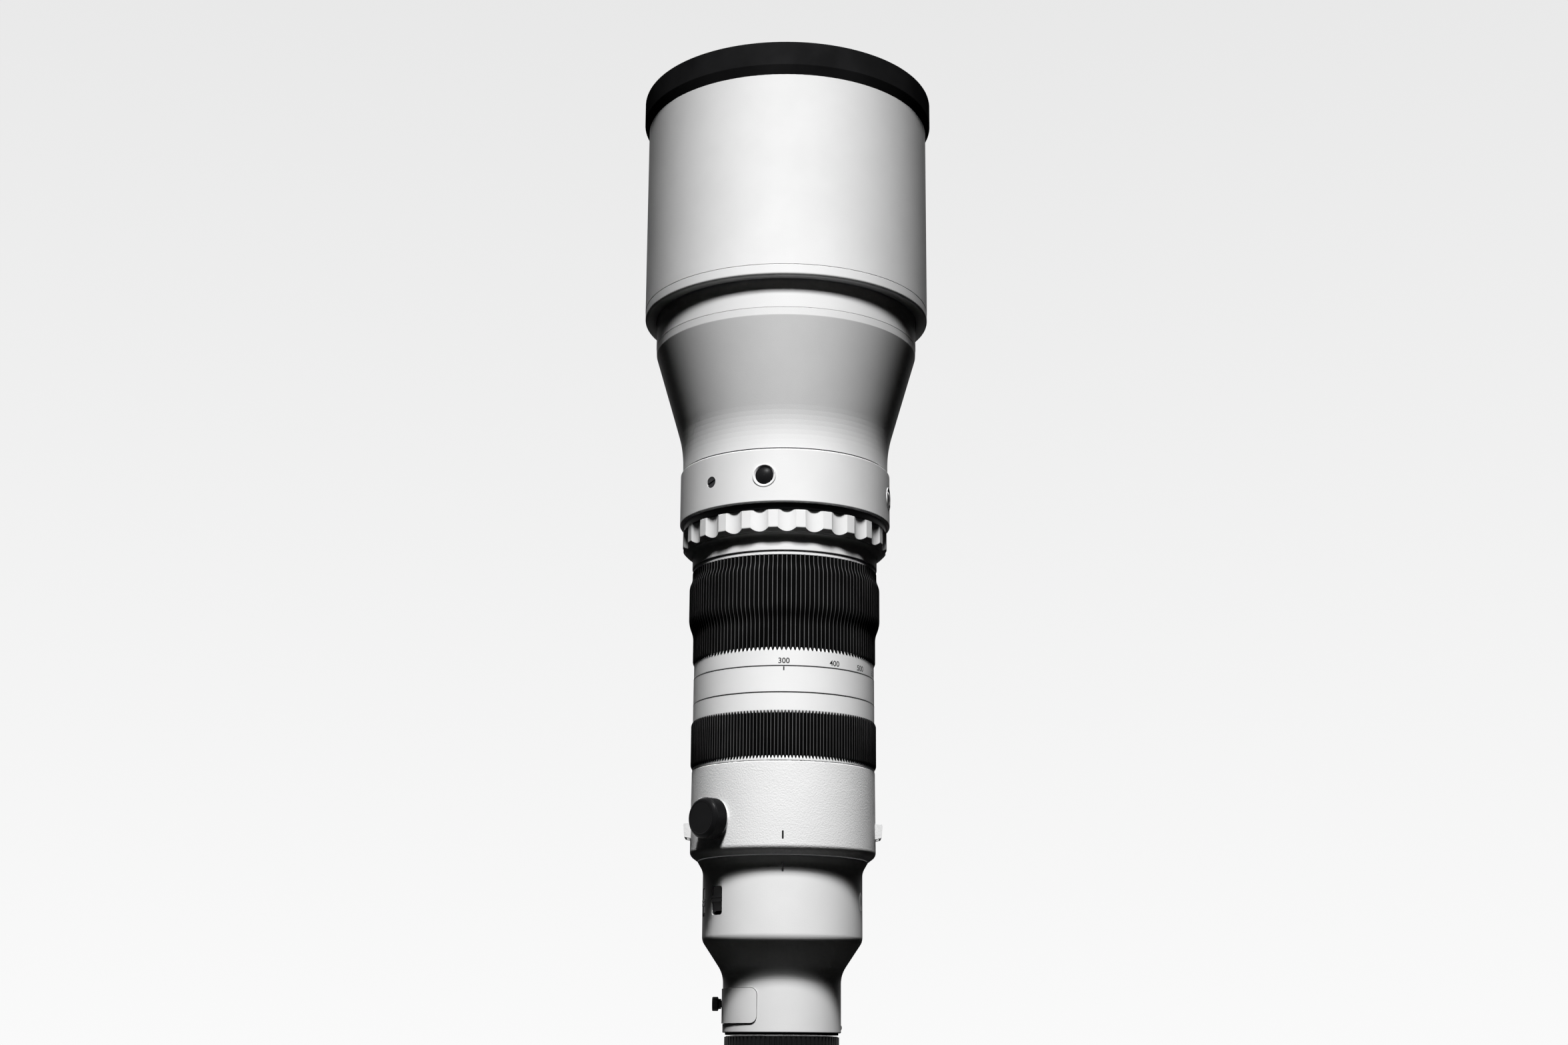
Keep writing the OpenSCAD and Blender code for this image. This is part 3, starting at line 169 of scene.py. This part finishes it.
GLOSS_BLACK = grained("button_black", (0.007, 0.007, 0.0075), 0.36, 0.8, 0.004, 0.1, Specular_IOR_Level=0.07)
CHROME = grained("mount_chrome", (0.72, 0.72, 0.73), 0.2, 0.3, 0.003, 0.03, 1.0, stretch=(1.0, 1.0, 0.05))
STEEL = grained("steel", (0.55, 0.55, 0.56), 0.3, 0.3, 0.004, 0.05, 1.0)
GREY = grained("grey_alloy", (0.30, 0.30, 0.31), 0.42, 0.4, 0.008, 0.06, 0.6)
BRASS = grained("contact_gold", (0.83, 0.62, 0.27), 0.25, 0.3, 0.003, 0.05, 1.0)
CIRCUIT = grained("circuit", (0.02, 0.12, 0.05), 0.4, 0.6, 0.01, 0.2)
FELT = grained("hood_felt", (0.012, 0.012, 0.012), 0.95, 0.35, 0.12, 0.3, Specular_IOR_Level=0.1,
               Sheen_Weight=0.25, Sheen_Roughness=0.4)
# Black for the printed marks and numbers, and for the painted shadow bands in the joints between rings.
MARK_AND_SHADOW = grained("mark_and_shadow_black", (0.010, 0.010, 0.010), 0.5, 0.4, 0.01, 0.1, Specular_IOR_Level=0.2)
WHITE_MARK = grained("mark_white", (0.8, 0.8, 0.8), 0.45, 0.4, 0.01, 0.02)
DARK_INSIDE = grained("inside_black", (0.010, 0.010, 0.010), 0.7, 0.8, 0.03, 0.2, Specular_IOR_Level=0.2)


def make_glass():
    """Lens glass with a greenish coating."""
    s = Surface("coated_glass", (0.93, 0.97, 0.95), 0.02, 0.0, IOR=1.52, Transmission_Weight=1.0)
    film = s.noise(30.0, detail=2.0)
    s.roughness(film, 0.015, 0.03)
    s.set("Coat Weight", 0.3)
    s.set("Coat Tint", (0.75, 0.9, 0.8))
    s.bump((s.noise(40.0, detail=1.0), 0.002))
    return s.mat


GLASS = make_glass()

FINISH = {
    PAINT: ["rear_barrel", "filter_holder", "focus_ring", "index_band", "zoom_ring", "neck_sleeve", "function_ring",
            "button_housing", "button_bezels", "control_bezels", "front_barrel", "front_ring", "hood_tube",
            "hood_base", "foot"],
    WRINKLE: ["collar"],
    RUBBER: ["focus_grip", "zoom_grip"],
    RIM_RUBBER: ["hood_rim", "mount_gasket"],
    KNOB_BLACK: ["collar_knob", "hood_knob", "filter_knob"],
    SCREW_BLACK: ["housing_screws"],
    ANODISED: ["trim_ring", "rear_cell", "front_cell", "zoom_cell", "focus_cell", "stabiliser_cell"],
    PLASTIC: ["rear_cap", "iris_unit", "focus_switch", "limit_switch", "steady_switch"],
    GLOSS_BLACK: ["set_button", "hold_button_1", "hold_button_2", "hold_button_3", "hold_button_4"],
    CHROME: ["mount_flange"],
    STEEL: ["mount_screws", "foot_screws", "focus_rods"],
    GREY: ["main_tube", "guide_tube", "cam_tube", "stabiliser_frame"],
    BRASS: ["contact_pins"],
    CIRCUIT: ["circuit_board"],
    FELT: ["hood_lining"],
    WHITE_MARK: ["index_bead"],
    DARK_INSIDE: ["rear_baffle"],
    GLASS: ["front_element", "second_element", "rear_element", "filter_glass", "zoom_lens", "focus_lens",
            "stabiliser_lens"],
}
for material, names in FINISH.items():
    for name in names:
        slots = NODES[name].data.materials
        slots.clear()
        slots.append(material)


# Mesh tools


def piece(name, verts, faces, material, body, replaces=(), smooth=40.0):
    """Links a mesh given in millimetres, shades it smooth up to an angle and rides it on its body."""
    mesh = bpy.data.meshes.new(name)
    mesh.from_pydata([tuple(v) for v in np.asarray(verts, float) * MM], [], [tuple(map(int, f)) for f in faces])
    mesh.validate()
    mesh.polygons.foreach_set("use_smooth", [True] * len(mesh.polygons))
    mesh.set_sharp_from_angle(angle=math.radians(smooth))
    mesh.materials.append(material)
    made = bpy.data.objects.new(name, mesh)
    bpy.context.scene.collection.objects.link(made)
    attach(made, body)
    if replaces:
        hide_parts(*replaces)
    return made


def around(phi, r, z):
    """Points on the barrel from angle phi in degrees, radius and height."""
    a = np.radians(phi)
    return np.stack(np.broadcast_arrays(r * np.sin(a), -r * np.cos(a), z), -1)


def torus_faces(rows, columns):
    """Quads of a rows x columns grid closed both ways."""
    i, j = np.meshgrid(np.arange(rows), np.arange(columns), indexing="ij")
    i2, j2 = (i + 1) % rows, (j + 1) % columns
    return np.stack([i * columns + j, i * columns + j2, i2 * columns + j2, i2 * columns + j], -1).reshape(-1, 4)


def ribbed_sleeve(name, body, replaces, ribs, outline, seat, section, depth):
    """Rubber sleeve: outline gives (crest radius, z) upwards, section the rib's (place in its pitch, height).

    The crests have a lighter material of their own: a painted highlight for the thin bright lines that they show."""
    s, h = np.array(section).T
    phi = ((np.arange(ribs)[:, None] + s[None, :]) * 360.0 / ribs).ravel()
    drop = np.tile((1 - h) * depth, ribs)
    outline = np.array(outline, float)
    r = outline[:, 0][None, :] - drop[:, None]
    z = np.broadcast_to(outline[:, 1], r.shape)
    inner = np.full((len(phi), 2), seat)
    ends = np.broadcast_to(outline[[-1, 0], 1], inner.shape)
    r, z = np.hstack([r, inner]), np.hstack([z, ends])
    verts = around(phi[:, None], r, z).reshape(-1, 3)
    faces = torus_faces(len(phi), r.shape[1])
    made = piece(name, verts, faces, RUBBER, body, replaces, 35.0)
    made.data.materials.append(RUB_CREST_HIGHLIGHT)
    across, up = r.shape
    # The faces on the rib crests take the second, lighter material: the painted highlight.
    crest = np.zeros((across, up), dtype=np.int32)
    on_top = np.tile((h > 0.95) & (np.roll(h, -1) > 0.95), ribs)
    crest[:, :up - 3] = on_top[:, None]
    made.data.polygons.foreach_set("material_index", crest.ravel())
    return made


def smooth_outline(points, step=0.6):
    """Outline through (radius, z, blend) points, with the corners eased over the blend length."""
    p = np.array([q[:2] for q in points], float)
    out = [p[0]]
    for k in range(1, len(p) - 1):
        blend = points[k][2]
        a, b, c = p[k - 1], p[k], p[k + 1]
        start = b + (a - b) / np.linalg.norm(a - b) * blend
        end = b + (c - b) / np.linalg.norm(c - b) * blend
        for t in np.linspace(0, 1, max(2, int(2 * blend / step))):
            out.append((1 - t) ** 2 * start + 2 * t * (1 - t) * b + t * t * end)
    out.append(p[-1])
    return out


# Ribs round each rubber, the depth of their grooves and the radius that the rubber sits on
ZOOM_RIBS, ZOOM_GROOVE = 132, 1.2
FOCUS_RIBS, FOCUS_GROOVE = 168, 1.15
RUBBER_SEAT = 54.75
RIB = [(0.0, 0.0), (0.13, 0.0), (0.22, 0.35), (0.36, 0.9), (0.42, 1.0),
       (0.58, 1.0), (0.64, 0.9), (0.78, 0.35), (0.87, 0.0)]

zoom_low, zoom_high = (v / MM for v in (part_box("zoom_grip")[0].z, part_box("zoom_grip")[1].z))
ZOOM_OUTLINE = [
    (56.02, zoom_low, 0), (56.35, zoom_low + 0.5, 0.2), (56.85, zoom_low + 1.9, 0.3),
    (56.85, zoom_high - 40, 3), (59.6, zoom_high - 32.6, 3.2), (59.6, zoom_high - 9.5, 2),
    (57.8, zoom_high - 5.4, 2), (57.8, zoom_high - 0.3, 0.2), (57.5, zoom_high, 0),
]
ribbed_sleeve("zoom_rubber", "zoom_control", ["zoom_grip"], ZOOM_RIBS, smooth_outline(ZOOM_OUTLINE),
              RUBBER_SEAT, RIB, ZOOM_GROOVE)

focus_low, focus_high = (v / MM for v in (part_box("focus_grip")[0].z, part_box("focus_grip")[1].z))
FOCUS_OUTLINE = [
    (56.22, focus_low, 0), (56.6, focus_low + 0.5, 0.2), (57.2, focus_low + 1.9, 0.3),
    (57.2, focus_high - 1.9, 0.3), (56.6, focus_high - 0.5, 0.2), (56.22, focus_high, 0),
]
ribbed_sleeve("focus_rubber", "focus_control", ["focus_grip"], FOCUS_RIBS, smooth_outline(FOCUS_OUTLINE),
              RUBBER_SEAT, RIB, FOCUS_GROOVE)


def ring(name, outline, material, body, columns=240):
    """Closed ring round the barrel from an outline of (radius, z) points."""
    r, z = np.array(outline, float).T
    phi = np.arange(columns)[:, None] * 360.0 / columns
    verts = around(phi, r[None, :], z[None, :]).reshape(-1, 3)
    return piece(name, verts, torus_faces(columns, len(outline)), material, body, smooth=30.0)


# Inner radius of the lips, how much they narrow, and how far they reach into the grooves
LIP_INNER, LIP_DROP, LIP_REACH = 55.1, 0.32, 1.8


def lip(name, body, r, z, reach):
    """White edge that runs into the grooves of a sleeve and shows as teeth between its ribs."""
    ring(name, [(LIP_INNER, z), (r, z), (r - LIP_DROP, z + reach), (LIP_INNER, z + reach)], PAINT, body)


lip("zoom_lip", "zoom_control", 55.93, zoom_low, LIP_REACH)
lip("focus_lip_low", "focus_control", 56.13, focus_low, LIP_REACH)
lip("focus_lip_high", "focus_control", 56.13, focus_high, -LIP_REACH)


SEAM_DEPTH = 0.5


def seam_shadow_band(name, z, r, height):
    """Painted shadow: a black band in the joint between two rings, where the joint's shade falls."""
    low, high, inner = z - height / 2, z + height / 2, r - SEAM_DEPTH
    ring(name, [(inner, low), (r, low), (r, high), (inner, high)], MARK_AND_SHADOW, "barrel")


# Painted shadow bands in the joints on either side of the index band and above the button housing.
seam_shadow_band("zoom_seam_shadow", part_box("index_band")[1].z / MM + 0.12, 56.12, 0.58)
seam_shadow_band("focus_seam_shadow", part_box("index_band")[0].z / MM - 0.12, 56.17, 0.72)
seam_shadow_band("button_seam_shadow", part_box("button_housing")[1].z / MM + 0.75, 65.05, 0.6)


KNURL_DEPTH = 0.32
SHANK_ROOT = -3.0


def knurled_knob(name, body, node, phi, z, seat, face, radius, shank, bevel, teeth):
    """Lock knob that stands on the barrel at phi and z, with a bevelled face and a diamond knurl round its side.

    Seat and face are its two ends, as distances from the lens's axis. The rows below are (height over the seat,
    radius, whether the knurl cuts it)."""
    pitch = 2 * math.pi * radius / teeth
    top = face - seat - bevel
    rows = [(SHANK_ROOT, 0.0, 0), (SHANK_ROOT, shank, 0), (0.0, shank, 0), (0.0, radius - 0.9, 0),
            (0.35, radius - 0.45, 0)]
    rows += [(a, radius, 1) for a in np.arange(0.5, top - 0.3, pitch / 4)]
    rows += [(top - 0.15, radius - 0.4, 0), (top, radius - 0.1, 0), (top + 0.3 * bevel, radius - 0.12, 0),
             (top + 0.42 * bevel, radius - 0.3, 0), (top + 0.93 * bevel, radius - 0.66 * bevel, 0),
             (top + bevel, radius - 0.8 * bevel, 0), (top + bevel, radius - 1.1 * bevel, 0),
             (top + bevel - 0.25, radius - 1.25 * bevel, 0), (top + bevel - 0.25, 0.0, 0)]
    a, r, cut = np.array(rows).T
    turn = np.arange(teeth * 4) / 4.0
    ridge = [np.abs((turn[:, None] + sign * a[None, :] / pitch) % 1.0 - 0.5) * 2 for sign in (1, -1)]
    r = r - cut * KNURL_DEPTH * (1 - np.minimum(*ridge))
    f, t = math.radians(phi), turn * 2 * math.pi / teeth
    out = np.array([math.sin(f), -math.cos(f), 0.0])
    side = np.array([math.cos(f), math.sin(f), 0.0])
    up = np.array([0.0, 0.0, 1.0])
    verts = (out * (seat + a)[None, :, None] + side * (r * np.cos(t)[:, None])[..., None]
             + up * (z + r * np.sin(t)[:, None])[..., None])
    i, j = np.meshgrid(np.arange(len(t)), np.arange(len(a) - 1), indexing="ij")
    n, k = len(a), (i + 1) % len(t)
    faces = np.stack([i * n + j, i * n + j + 1, k * n + j + 1, k * n + j], -1).reshape(-1, 4)
    return piece(name, verts.reshape(-1, 3), faces, KNOB_BLACK, body, [node], 28.0)


hood_mid = (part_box("hood_knob")[0].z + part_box("hood_knob")[1].z) / 2 / MM
knurled_knob("collar_knob_knurled", "collar_lock", "collar_knob", phi=-45.5, z=125.2, seat=57.35, face=68.0,
             radius=12.2, shank=3.0, bevel=2.2, teeth=84)
knurled_knob("hood_knob_knurled", "hood_lock", "hood_knob", phi=180.0, z=hood_mid, seat=91.5, face=103.5,
             radius=8.0, shank=3.0, bevel=1.5, teeth=56)


# How far painted marks stand over the barrel, and how deep their sides reach into it
MARK_OVER, MARK_INTO = 0.03, 0.2


def patch(name, phi, z, width, height, r, body, tip):
    """Thin black bar on the barrel, wrapped to radius r, with its corners rounded to the radius tip."""
    steps = 8
    flat = []
    for cx, cy, start in ((1, 1, 0), (-1, 1, 90), (-1, -1, 180), (1, -1, 270)):
        for k in range(steps + 1):
            a = math.radians(start + 90 * k / steps)
            flat.append((cx * (width / 2 - tip) + tip * math.cos(a), cy * (height / 2 - tip) + tip * math.sin(a)))
    flat = np.array(flat)
    top = around(phi + np.degrees(flat[:, 0] / r), r + MARK_OVER, z + flat[:, 1])
    low = around(phi + np.degrees(flat[:, 0] / r), r - MARK_INTO, z + flat[:, 1])
    m = len(flat)
    faces = [tuple(range(m)), tuple(range(2 * m - 1, m - 1, -1))]
    faces += [(k, m + k, m + (k + 1) % m, (k + 1) % m) for k in range(m)]
    return piece(name, np.vstack([top, low]), faces, MARK_AND_SHADOW, body, smooth=20.0)


patch("body_mark", phi=0, z=97.8, width=1.1, height=5.0, r=49.6, body="barrel", tip=0.5)
patch("collar_mark", phi=0, z=114.4, width=1.1, height=5.0, r=56.7, body="tripod_collar", tip=0.5)
patch("zoom_index", phi=0, z=213.3, width=0.75, height=2.4, r=56.1, body="barrel", tip=0.05)

# Zoom scale: each number's angle phi, then their height on the barrel, their own height and the barrel's radius.
# DIGIT_SHARE is a digit's height as a share of the font's size, and STROKE_OFFSET makes the strokes thicker.
SCALE = {"300": 0, "400": 33, "500": 56, "600": 77}
SCALE_Z, SCALE_HEIGHT, SCALE_R = 217.9, 3.3, 55.95
DIGIT_SHARE, STROKE_OFFSET = 0.7, 0.06


def number(name, text, phi, z, height, r, body):
    """Plain number painted on the barrel: outlines of the digits, filled and wrapped round to radius r."""
    curve = bpy.data.curves.new(name, "FONT")
    curve.body, curve.align_x, curve.align_y = text, "CENTER", "CENTER"
    curve.size, curve.resolution_u, curve.offset = height / DIGIT_SHARE, 6, STROKE_OFFSET
    holder = bpy.data.objects.new(name, curve)
    bpy.context.scene.collection.objects.link(holder)
    bpy.context.view_layer.update()
    mesh = bpy.data.meshes.new_from_object(holder.evaluated_get(bpy.context.evaluated_depsgraph_get()))
    bpy.data.objects.remove(holder)
    flat = np.empty(len(mesh.vertices) * 3)
    mesh.vertices.foreach_get("co", flat)
    flat = flat.reshape(-1, 3)
    faces = [tuple(p.vertices) for p in mesh.polygons]
    bpy.data.meshes.remove(mesh)
    return piece(name, around(phi + np.degrees(flat[:, 0] / r), r + MARK_OVER, z + flat[:, 1]), faces, MARK_AND_SHADOW, body)


for text, phi in SCALE.items():
    number("scale_" + text, text, phi, SCALE_Z, SCALE_HEIGHT, SCALE_R, "zoom_control")


# Camera, as the photograph was taken: from near the floor, looking up along the lens. The photograph was then
# straightened as if by a much larger shift, which would cut the lens off in other views.
CAMERA_PLACE = (0.0015, -1.25, -0.0105)
LOOK_UP, ROLL = 12.95, -0.36
FOCAL_LENGTH, SHIFT = 46.8, 0.04

camera_data = bpy.data.cameras.new("view")
camera = bpy.data.objects.new("view", camera_data)
bpy.context.scene.collection.objects.link(camera)
camera_data.sensor_width = 36.0
camera_data.lens = FOCAL_LENGTH
camera_data.shift_y = SHIFT
camera_data.clip_start, camera_data.clip_end = 0.01, 50.0
camera.location = CAMERA_PLACE
camera.rotation_euler = (math.radians(90 + LOOK_UP), math.radians(ROLL), 0.0)
bpy.context.scene.camera = camera


# Stage: the strength of the backdrop at the horizon and from the height SKY_TOP up, and of the faint fill on the lens
HORIZON, ZENITH, SKY_TOP, FILL = 0.955, 0.79, 0.55, 0.004


def world():
    """Pale backdrop to the camera, to mirrors and through glass, and next to no light on the lens."""
    made = bpy.data.worlds.new("studio")
    bpy.context.scene.world = made
    made.use_nodes = True
    made.cycles.sampling_method = "NONE"
    t = made.node_tree
    t.nodes.clear()
    new = t.nodes.new
    place, split = new("ShaderNodeTexCoord"), new("ShaderNodeSeparateXYZ")
    t.links.new(place.outputs["Generated"], split.inputs["Vector"])
    fall = new("ShaderNodeMapRange")
    for key, value in (("From Min", 0.0), ("From Max", SKY_TOP), ("To Min", HORIZON), ("To Max", ZENITH)):
        fall.inputs[key].default_value = value
    t.links.new(split.outputs["Z"], fall.inputs["Value"])
    path = new("ShaderNodeLightPath")
    seen = new("ShaderNodeMath")
    seen.operation = "MAXIMUM"
    t.links.new(path.outputs["Is Camera Ray"], seen.inputs[0])
    mirrored = new("ShaderNodeMath")
    mirrored.operation = "MAXIMUM"
    t.links.new(path.outputs["Is Glossy Ray"], mirrored.inputs[0])
    t.links.new(path.outputs["Is Transmission Ray"], mirrored.inputs[1])
    t.links.new(mirrored.outputs[0], seen.inputs[1])
    fill, pale = new("ShaderNodeBackground"), new("ShaderNodeBackground")
    mix, out = new("ShaderNodeMixShader"), new("ShaderNodeOutputWorld")
    fill.inputs["Color"].default_value = (1, 1, 1, 1)
    fill.inputs["Strength"].default_value = FILL
    pale.inputs["Color"].default_value = (1, 1, 1, 1)
    t.links.new(fall.outputs["Result"], pale.inputs["Strength"])
    t.links.new(seen.outputs[0], mix.inputs["Fac"])
    t.links.new(fill.outputs[0], mix.inputs[1])
    t.links.new(pale.outputs[0], mix.inputs[2])
    t.links.new(mix.outputs[0], out.inputs["Surface"])


world()


# Radius of the floor in metres, its corners, the grey it glows with, the grey that takes the lens's shadow, and the
# grey that light bouncing between surfaces meets
FLOOR_REACH, FLOOR_CORNERS = 12.0, 64
FLOOR_GLOW, FLOOR_GREY, FLOOR_BOUNCE = 0.76, 0.10, 0.003


def floor():
    """Pale floor to the camera, with the lens's shadow, and dark to light that bounces off it."""
    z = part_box("rear_cap")[0].z
    mesh = bpy.data.meshes.new("floor")
    turns = [2 * math.pi * k / FLOOR_CORNERS for k in range(FLOOR_CORNERS)]
    edge = [(FLOOR_REACH * math.cos(a), FLOOR_REACH * math.sin(a), z) for a in turns]
    mesh.from_pydata(edge, [], [tuple(range(FLOOR_CORNERS))])
    made = bpy.data.objects.new("floor", mesh)
    bpy.context.scene.collection.objects.link(made)
    mat = bpy.data.materials.new("floor")
    mat.use_nodes = True
    t = mat.node_tree
    t.nodes.clear()
    new = t.nodes.new
    path, glow = new("ShaderNodeLightPath"), new("ShaderNodeEmission")
    pale, dark = new("ShaderNodeBsdfDiffuse"), new("ShaderNodeBsdfDiffuse")
    for shader, grey in ((glow, FLOOR_GLOW), (pale, FLOOR_GREY), (dark, FLOOR_BOUNCE)):
        shader.inputs["Color"].default_value = (grey, grey, grey, 1)
    both, pick, out = new("ShaderNodeAddShader"), new("ShaderNodeMixShader"), new("ShaderNodeOutputMaterial")
    t.links.new(glow.outputs[0], both.inputs[0])
    t.links.new(pale.outputs[0], both.inputs[1])
    t.links.new(path.outputs["Is Diffuse Ray"], pick.inputs["Fac"])
    t.links.new(both.outputs[0], pick.inputs[1])
    t.links.new(dark.outputs[0], pick.inputs[2])
    t.links.new(pick.outputs[0], out.inputs["Surface"])
    mat.cycles.emission_sampling = "NONE"
    mesh.materials.append(mat)


floor()


def lamp(name, place, target, size, power, spread=180.0):
    """Softbox at place that faces target; spread is the angle of its light in degrees."""
    data = bpy.data.lights.new(name, "AREA")
    data.shape, data.size, data.size_y = "RECTANGLE", size[0], size[1]
    data.energy, data.spread = power, math.radians(spread)
    made = bpy.data.objects.new(name, data)
    bpy.context.scene.collection.objects.link(made)
    made.location = place
    aim = np.array(target, float) - np.array(place, float)
    made.rotation_euler = Vector(aim).to_track_quat("-Z", "Y").to_euler()
    made.visible_camera = False


# Key light: gridded softboxes in front, whose light comes steeply down along the lens and hardly reaches its
# undersides. Each row is (height, angle below the horizontal, power in watts before KEY_LEVEL).
KEY_LEVEL = 1.18
KEY_DISTANCE, KEY_SIZE, KEY_SPREAD = 0.5, (0.14, 0.12), 60.0
KEY_LAMPS = [(0.80, 78, 0.79), (0.92, 50, 0.50), (0.92, 70, 0.12), (0.92, 78, 1.58), (1.64, 40, 0.21)]
for k, (height, down, power) in enumerate(KEY_LAMPS):
    drop = math.tan(math.radians(down))
    lamp(f"key_{k}", (0.0, -KEY_DISTANCE, height), (0.0, 0.0, height - KEY_DISTANCE * drop), KEY_SIZE,
         KEY_LEVEL * power, KEY_SPREAD)

# Lamps behind and beside the lens, for its far side and its edges. Each row is (name, place, power in watts).
REAR_TARGET, REAR_SIZE = (0.0, 0.0, 0.3), (0.6, 1.2)
REAR_LAMPS = [("back_left", (-0.7, 1.5, 1.6), 22.0), ("back_right", (0.7, 1.5, 1.6), 22.0),
              ("side_left", (-1.6, 0.75, 1.5), 0.12)]
for name, place, power in REAR_LAMPS:
    lamp(name, place, REAR_TARGET, REAR_SIZE, power)

bpy.context.scene.view_settings.view_transform = "Standard"
